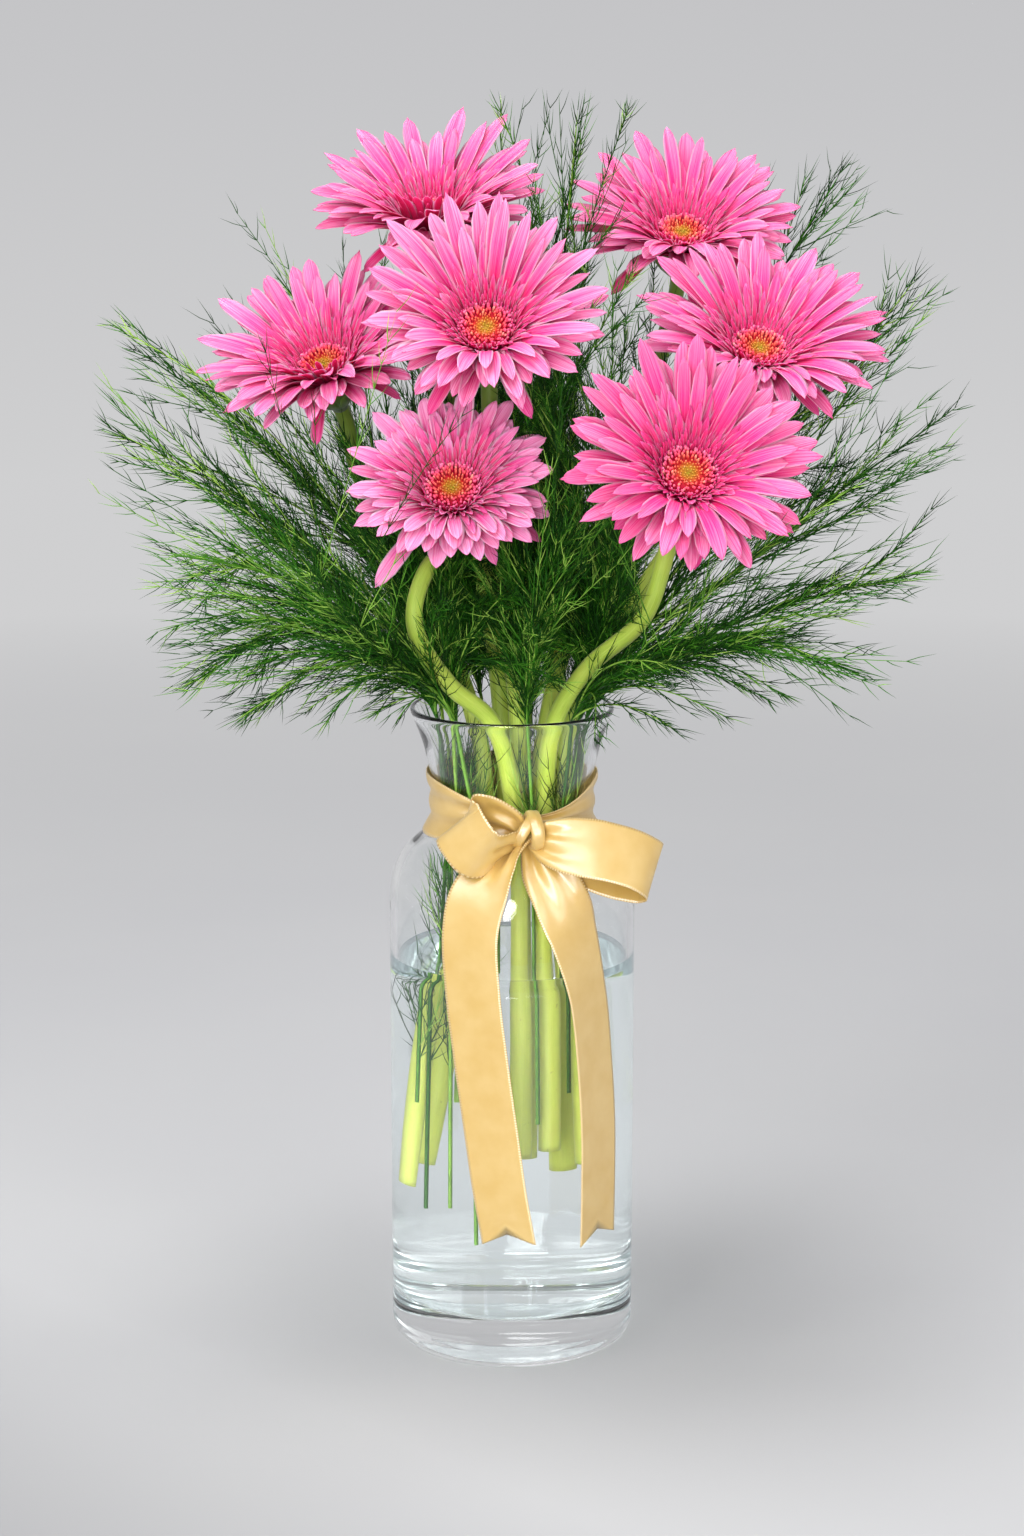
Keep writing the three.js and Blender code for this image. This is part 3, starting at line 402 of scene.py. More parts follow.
def disc_look():
    """Marks: up the floret, out over the disc, random."""
    look = Look("disc_florets", Roughness=0.6, Specular_IOR_Level=0.15, Subsurface_Weight=0.1,
                Subsurface_Radius=(1, 0.4, 0.2), Subsurface_Scale=0.0008)
    height, out, chance = look.marks()[:3]
    foot = look.ramp(out, (0.0, 138, 128, 30), (0.26, 176, 118, 32), (0.46, 192, 48, 44),
                     (0.68, 192, 10, 58), (1.0, 182, 0, 62))
    tip = look.ramp(out, (0.0, 190, 184, 66), (0.26, 220, 172, 74), (0.46, 236, 128, 92),
                    (0.66, 236, 80, 100), (0.84, 240, 98, 144), (1.0, 248, 150, 190))
    body = look.mix(look.span(height, 0.5, 0.95), foot, tip)
    grain = look.noise(look.place(), 900.0, 2.0)
    body = look.mix(look.span(grain, 0.4, 0.7, 0.0, 0.3), body, (184, 24, 44))
    # A few florets are paler.
    look.set("Base Color", look.mix(look.span(chance, 0.8, 1.0, 0.0, 0.4), body, (255, 206, 160)))
    look.bump(grain, 0.3, 0.0003)
    return look.material


def stem_look():
    """Marks: round the stem, along it, random, bract."""
    look = Look("gerbera_stem", Roughness=0.5, Specular_IOR_Level=0.35, Sheen_Weight=0.1,
                Subsurface_Weight=0.2, Subsurface_Radius=(0.6, 1, 0.2), Subsurface_Scale=0.0015)
    around, along, chance, bract = look.marks()
    fibre = look.noise(look.place(look.times(around, 40.0), look.times(along, 5.0), chance), 1.0, 4.0, 0.65)
    body = look.ramp(look.span(fibre, 0.25, 0.78), (0.0, 142, 168, 50), (0.5, 164, 188, 70),
                     (1.0, 188, 204, 98))
    patch = look.noise(look.place(), 55.0, 3.0)
    body = look.mix(look.span(patch, 0.45, 0.72, 0.0, 0.5), body, (190, 200, 88))
    # Paler down in the vase: partly the stems' own paler foot, partly painted light where glass and water dim
    # them. Darker up below the heads: painted shade.
    height = look.node("SeparateXYZ", {0: look.place()}).outputs[2]
    body = look.mix(look.span(height, 0.15, 0.27, 0.5, 0.0), body, (210, 210, 100))
    body = look.mix(look.span(height, 0.335, 0.36, 0.0, 0.65), body, (66, 102, 32))
    speck = look.noise(look.place(), 420.0, 2.0, 0.7)
    body = look.mix(look.span(speck, 0.7, 0.78, 0.0, 0.7), body, (112, 100, 36))
    look.set("Base Color", look.mix(bract, body, look.mix(along, (62, 98, 30), (104, 126, 52))))
    look.bump(fibre, 0.2, 0.0003)
    return look.material


def fern_look():
    """Marks: needle, random."""
    look = Look("asparagus_fern", Roughness=0.5, Specular_IOR_Level=0.15)
    needle, chance = look.marks()[:2]
    leaf = look.ramp(chance, (0.0, 5, 34, 2), (0.45, 24, 80, 9), (0.75, 76, 142, 34), (1.0, 168, 206, 92))
    stalk = look.ramp(chance, (0.0, 14, 56, 5), (0.6, 58, 120, 24), (1.0, 156, 194, 82))
    mottle = look.noise(look.place(), 160.0, 2.0)
    body = look.mix(needle, stalk, leaf)
    look.set("Base Color", look.mix(look.span(mottle, 0.45, 0.7, 0.0, 0.3), body, (12, 50, 5)))
    look.bump(mottle, 0.2, 0.0002)
    return look.material


def satin_look():
    """Marks: across the ribbon, along it in ribbon widths."""
    look = Look("gold_satin", Roughness=0.29, IOR=2.3, Sheen_Weight=0.15, Sheen_Roughness=0.4,
                Sheen_Tint=colour(255, 240, 205), Anisotropic=0.4)
    across, along = look.marks()[:2]
    wander = {"Distortion": 1.5, "Detail": 2.0, "Detail Scale": 3.0}
    threads = look.bands(look.place(along, across, 0.0), 40.0, wander)
    cloud = look.noise(look.place(look.times(along, 1.4), look.times(across, 1.2), 0.3), 2.2, 3.0)
    body = look.mix(look.span(cloud, 0.3, 0.72), (208, 171, 88), (217, 184, 110))
    body = look.mix(look.times(threads, 0.14), body, (176, 128, 54))
    # A stitched line runs along either edge.
    edge = look.span(look.off_middle(across), 0.462, 0.474)
    dash = look.span(look.bands(look.place(along, 0.0, 0.0), 7.4), 0.3, 0.7)
    stitch = look.mix(dash, (190, 146, 70), (246, 226, 176))
    look.set("Base Color", look.mix(look.times(edge, 0.75), body, stitch))
    look.bump(look.math("ADD", look.times(threads, 0.12), look.times(edge, dash)), 0.3, 0.0003)
    return look.material


def glass_look():
    look = Look("clear_glass", Base_Color=colour(254, 255, 255), Roughness=0.0, IOR=1.5,
                Transmission_Weight=1.0)
    look.clear_to_lamps((0.975, 0.98, 0.978, 1))
    return look.material


def water_look():
    """Clear water. It glows very faintly, so that the ends of its surface aren't black."""
    look = Look("still_water", Base_Color=colour(249, 254, 254), Roughness=0.0, IOR=1.333,
                Transmission_Weight=1.0, Emission_Color=colour(210, 220, 226), Emission_Strength=0.035)
    look.bump(look.noise(look.place(), 60.0, 1.0), 0.03, 0.001)
    look.clear_to_lamps((0.985, 0.99, 0.988, 1))
    return look.material


# ---- Vase and water ----

# The vase's outline, as radius and height.
VASE_SEGMENTS = 144
OUTSIDE = [(0, 2.6), (20, 2.5), (32, 1.9), (37.5, 0.7), (41, 0), (43.8, 0), (46.8, 1.0), (49.1, 3.6),
           (50, 8), (50, 12), (50, 60), (50, 140), (50, 181), (49.75, 190), (48.3, 198.4), (43.7, 207.4),
           (36.6, 213.6), (33.1, 218), (31.9, 223), (32.3, 233), (35.8, 250), (39.4, 260.2), (41.2, 265)]
RIM = [(40.9, 265.8), (40.2, 266), (39.5, 265.7)]
INSIDE = [(39, 264.8), (37, 260), (33, 250), (29.5, 233), (29.1, 223), (30.6, 216.8), (34.4, 212),
          (41.4, 205), (45.2, 197.4), (46.8, 189), (47, 181), (47, 140), (47, 60), (47, 30), (46.7, 24.6),
          (45, 21.5), (41, 20.3), (34, 20), (20, 20), (0, 20)]
# How far the water reaches into the wall, and into the floor below that height.
WALL_BITE, FLOOR_BITE, FLOOR_BEND = 0.15, 0.12, 30
# The water's surface climbs the glass at its edge, as radius and height over its level.
SURFACE = [(47.15, 0.7), (46.8, 0.35), (46.2, 0.12), (45, 0.02), (42, 0), (30, 0), (15, 0), (1, 0)]


def profile(points, steps=6):
    """A smooth outline through radius and height."""
    line = spline([(r, 0, z) for r, z in points], np.linspace(0, 1, (len(points) - 1) * steps + 1))
    return np.maximum(line[:, [0, 2]], 0)


def turned(outline):
    """A body turned about the vase's axis."""
    turn = np.arange(VASE_SEGMENTS) * TAU / VASE_SEGMENTS
    r, z = outline[:, 0:1], outline[:, 1:2]
    rings = np.stack([r * np.cos(turn), r * np.sin(turn), np.broadcast_to(z, (len(r), len(turn)))], -1)
    piece = Piece()
    piece.rings(rings, (0, 0, 0, 0))
    return piece


def make_vase():
    outline = profile([*OUTSIDE, *RIM, *INSIDE])
    return turned(outline[outline[:, 0] > 0.5])


def make_water():
    """The water reaches a hair into the glass, so no air is left between them."""
    wall = profile(INSIDE)
    wall = wall[(wall[:, 1] < WATER_LEVEL - 2) & (wall[:, 0] > 1)][::-1]
    wall = wall + [WALL_BITE, 0] - [0, FLOOR_BITE] * (wall[:, 1:] < FLOOR_BEND)
    surface = profile([(r, WATER_LEVEL + h) for r, h in SURFACE], 4)
    return turned(np.concatenate([wall, surface]))


# ---- Gerberas ----

# How wide a petal is: shares of its length, and of its width there.
BLADE_SHAPE = [0, 0.14, 0.36, 0.6, 0.82, 1], [0.36, 0.58, 0.86, 1, 0.93, 0.7]
# Long petals between the two layers and over them: number, turn, rise, how much steeper the near ones are,
# bend, share of the reach, and width.
LONG_ROWS = [
    (26, 0.5, (8, 16), 18, (-34, -18), (0.78, 1.02), 7.4),
    (24, 0.25, (26, 34), 12, (-36, -20), (0.6, 0.84), 6.2),
]
FALLEN = 5
# Short petals and narrow florets that crowd between the long ones and the disc: number, radius of the ring,
# length, rise, bend, width, and where they begin and end on the way from the dark foot to the pale tip.
CROWD_ROWS = [
    (26, 11.8, (19, 27), (28, 37), (-34, -14), 4.6, (0.0, 0.82)),
    (36, 11.3, (14, 21), (33, 43), (-32, -8), 2.9, (0.0, 0.62)),
    (42, 10.9, (10, 15), (38, 49), (-28, 0), 2.0, (0.0, 0.56)),
    (46, 10.4, (7, 10.5), (42, 55), (-20, 12), 1.6, (0.0, 0.55)),
    (46, 9.9, (4.5, 7), (50, 62), (-10, 16), 1.3, (0.0, 0.55)),
]
# The seat of the petals and the cup, as radius and height along the head's axis.
PETAL_SEAT = [(11, -HEAD_DEPTH), (HEAD_RADIUS, -HEAD_DEPTH), (HEAD_RADIUS, -0.4), (HEAD_SEAT_RADIUS, 0),
              (4, 0)]
CUP = [(3.2, -2), (4.2, 1.2), (6.3, 4), (9.2, 8), (10.9, 12), (11.9, CUP_DEPTH + 0.3)]
# Rows of bracts on the cup: heights of foot and tip, radii of foot and tip, and width.
BRACT_ROWS = [(1.5, 12.5, 5.2, 11.6, 4.2), (5, 17.5, 8.2, 12.6, 4.4), (9, 19.2, 10.4, 13.0, 3.8)]
BRACTS_IN_ROW = 16
STEM_SIDES, DISC_SIDES, SEAT_SIDES = 24, 32, 40
# Florets of a disc: their number, the turn from one to the next, and the radius that they reach.
FLORETS, GOLDEN_ANGLE, FLORETS_REACH = 230, 2.39996, 9.7
FLORET_SIDES, FLORET_STEPS = 5, (0, 0.45, 0.8, 1.0)


def axes_of(flower):
    """Right, up the face and out of the face."""
    up, turn = math.radians(flower["up"]), math.radians(flower["turn"])
    out = vec(math.sin(turn) * math.cos(up), -math.cos(turn) * math.cos(up), math.sin(up))
    right = vec(math.cos(turn), math.sin(turn), 0)
    return right, np.cross(out, right), out


def head_rings(flower, outline, sides, sink=0):
    """Rings about a head's axis, through radii and heights over a point that lies sink below its seat."""
    right, above, out = axes_of(flower)
    turn = (np.arange(sides) * TAU / sides)[:, None]
    face = right * np.cos(turn) + above * np.sin(turn)
    base = vec(*flower["at"]) - sink * out
    return np.array([base + r * face + h * out for r, h in outline])


def nearness(angle):
    """How far a petal points down the face, towards the viewer, from 0 to 1."""
    return max(0, -math.sin(angle))


def blade_faces(rows, columns):
    """The wall of a closed blade, and its tip shut between its lower and its upper row."""
    ring = 2 * columns - 2
    lower = (rows - 1) * ring + np.arange(columns)
    upper = (rows - 1) * ring + (ring - np.arange(columns)) % ring
    tip = [[lower[j], lower[j + 1], upper[j + 1], upper[j]] for j in range(1, columns - 2)]
    tip += [[lower[0], lower[1], upper[1], -1], [lower[-2], lower[-1], upper[-2], -1]]
    return np.concatenate([grid(rows, ring, True), tip])


def blade(piece, flower, angle, start, spec, columns=9, rows=14):
    """A petal: a thin closed blade that keeps to the line, width and roll of the solid's."""
    right, above, out = axes_of(flower)
    outward = right * math.cos(angle) + above * math.sin(angle)
    across = np.cross(out, outward)
    length, width = spec["length"], spec["width"]
    a, b = math.radians(spec["rise"]), math.radians(spec["bend"])
    # s runs across the blade, and t along it to a blunt end with small teeth.
    s = np.linspace(-1, 1, columns)
    teeth = spec.get("teeth", 0.014) * (0.5 - 0.5 * np.cos(3 * np.pi * s))
    end = 1 - spec["blunt"] * np.abs(s) ** 2.2 - teeth
    t = np.linspace(0, 1, rows)[:, None] ** 0.92 * end
    slope = a + b * t
    radius = start[0] + length * (np.sin(slope) - math.sin(a)) / b
    height = start[1] + length * (math.cos(a) - np.cos(slope)) / b
    half = np.interp(t, *BLADE_SHAPE) * width / 2
    tangent = np.cos(slope)[..., None] * outward + np.sin(slope)[..., None] * out
    roll = (np.radians(spec["roll"]) * t)[..., None]
    side = across * np.cos(roll) + np.cross(tangent, across) * np.sin(roll)
    normal = np.cross(tangent, side)
    # Its hollow, its two grooves and its waves, as heights over a flat blade, and its sway to the side.
    cup = spec["cup"] * half * (s**2 - 0.35)
    dip = np.exp(-(((np.abs(s) - 0.5) / 0.2) ** 2))
    groove = -0.3 * dip * np.sin(np.pi * np.clip(t, 0, 1)) * min(1, width / 8)
    wave = spec.get("wave", 0) * np.sin(np.pi * (1.6 * t + spec.get("phase", 0))) * s * t
    sway = spec.get("sway", 0) * t**2
    middle = (vec(*flower["at"]) + radius[..., None] * outward + height[..., None] * out
              + side * (s * half + sway)[..., None] + normal * (cup + groove + wave)[..., None])
    thick = (0.08 + 0.2 * (1 - s**4) * (1 - 0.6 * t))[..., None] * normal
    low, high = middle - thick, middle + thick
    low[:, [0, -1]] = high[:, [0, -1]] = middle[:, [0, -1]]
    foot, tip = spec.get("tone", (0, 1))
    marks = np.stack([np.broadcast_to((s + 1) / 2, t.shape), foot + (tip - foot) * t,
                      np.full(t.shape, spec["deep"]), np.zeros(t.shape)], -1)
    top = marks[:, -2:0:-1].copy()
    top[..., 3] = 1
    marks[:, [0, -1], 3] = 1
    loop = np.concatenate([low, high[:, -2:0:-1]], 1)
    piece.add(loop, blade_faces(rows, columns), np.concatenate([marks, top], 1).reshape(-1, 4))


def shade(flower, rng):
    """How deep a petal's pink is: half by its head, half by chance. Below 0 it makes the petal paler, as
    painted light.
    """
    return 0.5 * flower["deep"] + 0.5 * rng.random()


def habit(flower, rng):
    """What sets one long petal apart from the next."""
    return dict(deep=shade(flower, rng), wave=rng.uniform(-0.7, 0.7), phase=rng.uniform(0, 2),
                cup=rng.uniform(0.04, 0.4), sway=rng.uniform(-2.2, 2.2), teeth=rng.uniform(0.006, 0.04),
                blunt=rng.uniform(0.13, 0.22))


def spanning(flower, rise, bend):
    """The length at which a petal of that rise and bend spans the head's reach."""
    return (flower["reach"] - HEAD_RADIUS) / math.cos(math.radians(rise + bend / 2))


def add_layers(piece, flower, draw, rng):
    """The two layers of long petals and the short florets before the outer ones, as in the solids."""
    step = TAU / (2 * PETALS_IN_LAYER)
    for i in range(2 * PETALS_IN_LAYER):
        angle, inner, hangs = i * step, i % 2 == 0, i == flower.get("hanging")
        near = nearness(angle)
        rise = flower["lift"] + (22 + draw(-3, 3) if inner else 2 + draw(-4, 3))
        rise += near * (INNER_NEAR_RISE if inner else OUTER_NEAR_RISE)
        bend = draw(-34, -22 if inner else -20) - NEAR_CURL * near
        if hangs:
            rise, bend = HANGING_RISE, HANGING_BEND
        length = spanning(flower, rise, bend) * draw(0.93, 1.04) * (HANGING_STRETCH if hangs else 1)
        spec = dict(length=length, rise=rise, bend=bend, width=PETAL_WIDTH * draw(0.92, 1.06) * 0.92,
                    roll=draw(-14, 14), **habit(flower, rng))
        depth = -HEAD_DEPTH / 4 if inner else -0.75 * HEAD_DEPTH
        blade(piece, flower, angle, (HEAD_RADIUS - 1.2, depth), spec)
        if inner:
            continue
        floret = dict(length=draw(10, 15), rise=draw(52, 64) + INNER_NEAR_RISE * near, bend=draw(-34, -20),
                      width=3.6, roll=draw(-20, 20), deep=shade(flower, rng), tone=(0.0, 0.9), cup=0.5,
                      blunt=0.18)
        blade(piece, flower, angle, ((HEAD_RADIUS + HEAD_SEAT_RADIUS) / 2, 0), floret, 7, 9)


def add_long(piece, flower, rng):
    """More long petals, and a few that have fallen back below."""
    for number, turn, rises, steeper, bends, share, width in LONG_ROWS:
        for i in range(number):
            angle = TAU * (i + turn + rng.uniform(-0.2, 0.2)) / number
            near = nearness(angle)
            rise = flower["lift"] + rng.uniform(*rises) + steeper * near
            bend = rng.uniform(*bends) - NEAR_CURL * near
            spec = dict(length=spanning(flower, rise, bend) * rng.uniform(*share), rise=rise, bend=bend,
                        width=width * rng.uniform(0.85, 1.1), roll=rng.uniform(-16, 16),
                        **habit(flower, rng))
            blade(piece, flower, angle, (HEAD_RADIUS - 0.8, -HEAD_DEPTH / 3), spec)
    for i in range(FALLEN):
        spec = dict(length=rng.uniform(22, 30), rise=rng.uniform(-16, 0), bend=rng.uniform(-30, -14),
                    width=rng.uniform(5.6, 7), roll=rng.uniform(-20, 20), tone=(0.0, 0.6),
                    **habit(flower, rng))
        angle = TAU * (i + rng.uniform(-0.4, 0.4)) / FALLEN
        blade(piece, flower, angle, (HEAD_RADIUS - 1, -0.85 * HEAD_DEPTH), spec)


def add_crowd(piece, flower, rng):
    """The short petals and narrow florets. Half a degree of bend keeps a blade from being dead straight."""
    for number, ring, lengths, rises, bends, width, tone in CROWD_ROWS:
        shift = rng.random()
        for i in range(number):
            angle = TAU * (i + shift + rng.uniform(-0.25, 0.25)) / number
            near = nearness(angle)
            rise = flower["lift"] * 0.6 + 6 + rng.uniform(*rises) + flower.get("veil", VEIL) * near
            spec = dict(length=rng.uniform(*lengths), rise=rise,
                        bend=rng.uniform(*bends) - 0.5 - 16 * near * min(1, width / 3.5),
                        width=width * rng.uniform(0.85, 1.15), roll=rng.uniform(-25, 25),
                        deep=shade(flower, rng), tone=tone, cup=rng.uniform(0.4, 0.9), teeth=0.05,
                        blunt=0.22, wave=rng.uniform(-0.3, 0.3), phase=rng.uniform(0, 2))
            blade(piece, flower, angle, (ring + rng.uniform(-0.4, 0.4), -0.3), spec, 5, 8)


def make_petals(flower, draw, rng):
    piece = Piece()
    add_layers(piece, flower, draw, rng)
    add_long(piece, flower, rng)
    add_crowd(piece, flower, rng)
    piece.rings(head_rings(flower, PETAL_SEAT, SEAT_SIDES), (0.5, 0, 0.5, 1))
    return piece


def dome(r):
    """Height of the disc under its florets: a dome with a dimple."""
    return (DISC_HEIGHT - 1.4) * (1 - (r / (DISC_RADIUS + 1.5)) ** 2) - 0.9 * math.exp(-((r / 3) ** 2))


def make_disc(flower, rng):
    """A dome packed with florets in a spiral: buds in the eye, open ones round it."""
    right, above, out = axes_of(flower)
    piece = Piece()
    outline = [(9.9, 0.1), *((r, dome(r)) for r in (9.7, 8.6, 7, 5.2, 3.4, 1.6, 0.5))]
    marks = np.array([[(0.1, r / 10, 0.2, 0)] * DISC_SIDES for r, _ in outline])
    piece.rings(head_rings(flower, outline, DISC_SIDES), marks)
    for k in range(FLORETS):
        share = math.sqrt((k + 0.5) / FLORETS)
        angle, r = k * GOLDEN_ANGLE + rng.uniform(-0.1, 0.1), FLORETS_REACH * share
        opened = min(1, max(0, (share - 0.38) / 0.25))
        tall = (1.1 + 1.0 * share + 1.5 * opened * (1.1 - 0.6 * share)) * rng.uniform(0.8, 1.2)
        width = 0.30 + 0.12 * opened
        spread = right * math.cos(angle) + above * math.sin(angle)
        lean = unit(out + spread * (0.15 + 0.5 * share**2) + rng.normal(0, 0.12, 3))
        foot = vec(*flower["at"]) + r * spread + (dome(r) - 0.2) * out
        line = np.array([foot + lean * tall * t for t in FLORET_STEPS])
        radii = [width * 0.75, width, width * (0.95 + 0.35 * opened), width * (0.35 + 0.75 * opened)]
        rings = tube(line, radii, FLORET_SIDES)
        if opened > 0.5:
            rings[-1, ::2] += 0.3 * lean
        chance = rng.random()
        marks = np.array([[(t, share, chance, 0)] * FLORET_SIDES for t in FLORET_STEPS])
        piece.rings(rings, marks, (False, True))
    return piece


def add_bract(piece, flower, angle, sizes, chance):
    """A thin pointed scale on the cup."""
    right, above, out = axes_of(flower)
    low, high, foot, tip, width = sizes
    spread = right * math.cos(angle) + above * math.sin(angle)
    seat = vec(*flower["at"]) - (HEAD_DEPTH + CUP_DEPTH) * out
    t, s = np.linspace(0, 1, 6)[:, None], np.linspace(-1, 1, 5)
    half = width / 2 * np.interp(t, [0, 0.4, 0.75, 1], [0.7, 1, 0.75, 0.06])
    r = foot + (tip - foot) * np.sin(t * math.pi / 2) + 0.35 * (1 - s**2)
    h = np.broadcast_to(low + (high - low) * t, r.shape)
    skin = (seat + (s * half)[..., None] * np.cross(out, spread) + r[..., None] * spread
            + h[..., None] * out)
    marks = np.empty((6, 10, 4))
    marks[..., 0], marks[..., 1], marks[..., 2:] = 0.5, t, (chance, 1)
    piece.rings(np.concatenate([skin - 0.35 * spread, skin[:, ::-1]], 1), marks)


def make_stem(flower, rng):
    """The bare stem from its cut end up, and its cup with overlapping bracts."""
    out = axes_of(flower)[2]
    base = vec(*flower["at"]) - out * (HEAD_DEPTH + CUP_DEPTH)
    line = spaced(spline([*flower["scape"], base - 9 * out, base], np.linspace(0, 1, 400)), 110)
    along = np.linspace(0, length_of(line), len(line))
    radii = np.linspace(SCAPE_RADIUS, SCAPE_TOP_RADIUS, len(line)) * (1 + 0.02 * np.sin(along / 21))
    turn = np.arange(STEM_SIDES) * TAU / STEM_SIDES
    ridges = 1 + 0.016 * np.sin(turn * 8) + 0.012 * np.sin(turn * 3 + 1)
    chance = rng.random()
    marks = np.empty((len(line), STEM_SIDES, 4))
    marks[..., 0] = np.abs(np.arange(STEM_SIDES) / STEM_SIDES * 2 - 1)
    marks[..., 1] = (along / 60)[:, None]
    marks[..., 2:] = (chance * 9, 0)
    piece = Piece()
    piece.rings(tube(line, radii, STEM_SIDES, ridges), marks)
    piece.rings(head_rings(flower, CUP, STEM_SIDES, HEAD_DEPTH + CUP_DEPTH), (0.5, 0.3, chance, 1))
    for row, sizes in enumerate(BRACT_ROWS):
        for i in range(BRACTS_IN_ROW):
            angle = TAU * (i + 0.5 * (row % 2) + rng.uniform(-0.15, 0.15)) / BRACTS_IN_ROW
            add_bract(piece, flower, angle, sizes, rng.random())
    return piece


# ---- The bow ----

KNOT = (7.5, -38.8, 224)
BAND_HEIGHT, BAND_HALF_WIDTH, BAND_GATHER, BAND_DROP, BAND_RADIUS = 227.5, 11.5, 8.5, 3, 34
X, Y, Z = KNOT
# Stations of each strip: its middle, the way its width runs, and how much of the width is spread there.
STRIPS = {
    "left_loop": [
        ((3.2, -42, 219.2), (1.6, -0.6, 2.4), 0.4), ((-2.4, -49.5, 218.8), (2.4, -1.2, 3.5), 0.72),
        ((-8.2, -53.5, 217), (3.8, -4, 8.4), 0.95), ((-13.9, -54.5, 218.5), (5.3, -3.5, 11), 1),
        ((-19, -52.5, 224.5), (8.1, -3.5, 10.2), 1), ((-20.9, -49, 228.1), (9.4, -3.5, 9.4), 1),
        ((-18.7, -45.2, 229.6), (9.4, -3.8, 8.6), 1), ((-12.4, -43.8, 229.5), (8.6, -2.8, 6.5), 0.95),
        ((-2.8, -42.5, 227), (3.9, -1.5, 4), 0.65), ((2.8, -41, 223), (1.6, -0.5, 2.5), 0.4)],
    "right_loop": [
        ((8.3, -42.5, 221.4), (0, 1, 3.5), 0.4), ((13, -47, 220.8), (0, 2.4, 6.2), 0.68),
        ((21.1, -51, 220.1), (0, 4.5, 8.6), 0.9), ((34.8, -53.5, 218.6), (0, 6.6, 9.6), 1),
        ((47.3, -53, 215.1), (1.6, 7, 9.6), 1), ((53.7, -50.5, 211.3), (2.6, 7, 9.4), 1),
        ((56.1, -46.5, 208), (3.4, 7, 9.3), 1), ((53.1, -42, 206), (3.4, 7, 9.6), 1),
        ((44.2, -41, 207.2), (2.4, 6.6, 9.8), 1), ((32.8, -41.5, 210.8), (2, 5.5, 9.4), 0.96),
        ((22.1, -42, 215.8), (0.8, 3.2, 6.6), 0.72), ((11, -40.5, 220.1), (0, 1, 3.5), 0.4)],
    "left_tail": [
        ((X - 1, Y - 0.5, Z - 3), (-3.5, 0, -3), 0.4), ((-4, -47.5, 212), (-8, 1, -6), 0.82),
        ((-13, -51.5, 200), (-10.6, 4, -3), 1), ((-16.5, -53, 185), (-10.9, 6, 0), 1),
        ((-15.5, -53.5, 160), (-10.8, 6, 0), 1), ((-12, -54, 130), (-10.8, 6, 0.6), 1),
        ((-8.2, -54.8, 102), (-10.8, 6, 1), 1), ((-5.2, -55.5, 80), (-10.8, 6, 1), 1),
        ((-1.2, -56.1, 57), (-10.8, 6, 0.8), 1)],
    "right_tail": [
        ((X + 0.5, Y - 0.5, Z - 4), (4, 0, 2), 0.4), ((13, -48.5, 210), (8.5, 0, 5), 0.8),
        ((19, -52.5, 199), (10, 3, 3), 0.9), ((24, -53, 185), (8.6, 8, 1.6), 1),
        ((30, -52.5, 160), (7, 10, 0), 1), ((33, -52, 130), (6.8, 10.2, 0), 1),
        ((34.4, -52, 104), (6.8, 10.2, 0), 1), ((34.5, -52, 82), (6.8, 10.2, 0), 1),
        ((34.2, -52, 58), (6.8, 10.2, 0), 1)],
}
TAIL_NOTCH = 9
# The knot's two turns: shift to the side, lean, bow to the side, size, and half width of the rolled ribbon.
KNOT_TURNS = [(1.2, -0.1, 1.6, 1.0, 2.9), (-2.2, 0.5, -1.2, 0.88, 2.4)]
KNOT_POINTS = 48
CLOTH = 0.16  # half the thickness of the ribbon
ACROSS = 21
FOLDS = 2.5


def add_sheet(piece, place, skin, along, closed=False):
    """Cloth of some thickness on either side of rows of points. closed joins its last row to its first."""
    s = np.linspace(-1, 1, ACROSS)
    loop = np.concatenate([place - skin, (place + skin)[:, ::-1]], 1)
    marks = np.zeros((len(along), 2 * ACROSS, 4))
    marks[..., 0] = np.concatenate([s, s[::-1]]) / 2 + 0.5
    marks[..., 1] = (along / (2 * RIBBON_HALF_WIDTH))[:, None]
    if closed:
        loop = np.concatenate([loop, loop[:1]])[:, ::-1]
    piece.rings(loop, marks, (not closed, not closed))


def cloth(piece, middle, side, spread, along, notch=0, roll=0.0):
    """A strip of ribbon. Where it is drawn together it stands in folds, so no width is lost.

    notch is the depth of its swallow tail. With roll, the half width of a roll, its edges are turned in
    behind instead of folded.
    """
    s = np.linspace(-1, 1, ACROSS)
    way = unit(np.gradient(middle, axis=0))
    side = square_to(side, way)
    out = np.cross(way, side)
    if roll:
        turn = 2.5 * s
        shift = np.broadcast_to(roll * np.sin(turn) + 0.15 * roll * np.sin(3 * turn), (len(middle), ACROSS))
        sink = 0.9 * roll * (1 - np.cos(turn)) + 0.22 * np.cos(7 * turn + 0.8 * along[:, None] / roll)
    else:
        shift = s * (RIBBON_HALF_WIDTH * spread)[:, None]
        deep = 0.75 * RIBBON_HALF_WIDTH / (2 * FOLDS) * (1 - spread**2)
        sink = deep[:, None] * np.sin(np.pi * FOLDS * (s + 1))
    place = middle[:, None] + side[:, None] * shift[..., None] + out[:, None] * sink[..., None]
    if notch:
        # The cut is drawn out over the last ten rows.
        cut = -notch * (1 - np.abs(s))[:, None] * unit(middle[-1] - middle[-2])
        for k in range(10):
            place[-1 - k] += (1 - 0.1 * k) * cut
    skin = unit(np.cross(np.gradient(place, axis=1), np.gradient(place, axis=0))) * CLOTH
    add_sheet(piece, place, skin, along)
    return length_of(middle)


def strip(piece, stations, notch, start):
    t = np.linspace(0, 1, 16 * len(stations))
    middle = spline([p for p, _, _ in stations], t)
    side = unit(spline([unit(vec(*w)) for _, w, _ in stations], t))
    spread = np.clip(spline([(k, 0, 0) for _, _, k in stations], t)[:, 0], 0.3, 1)
    return cloth(piece, middle, side, spread, start + travel(middle), notch)


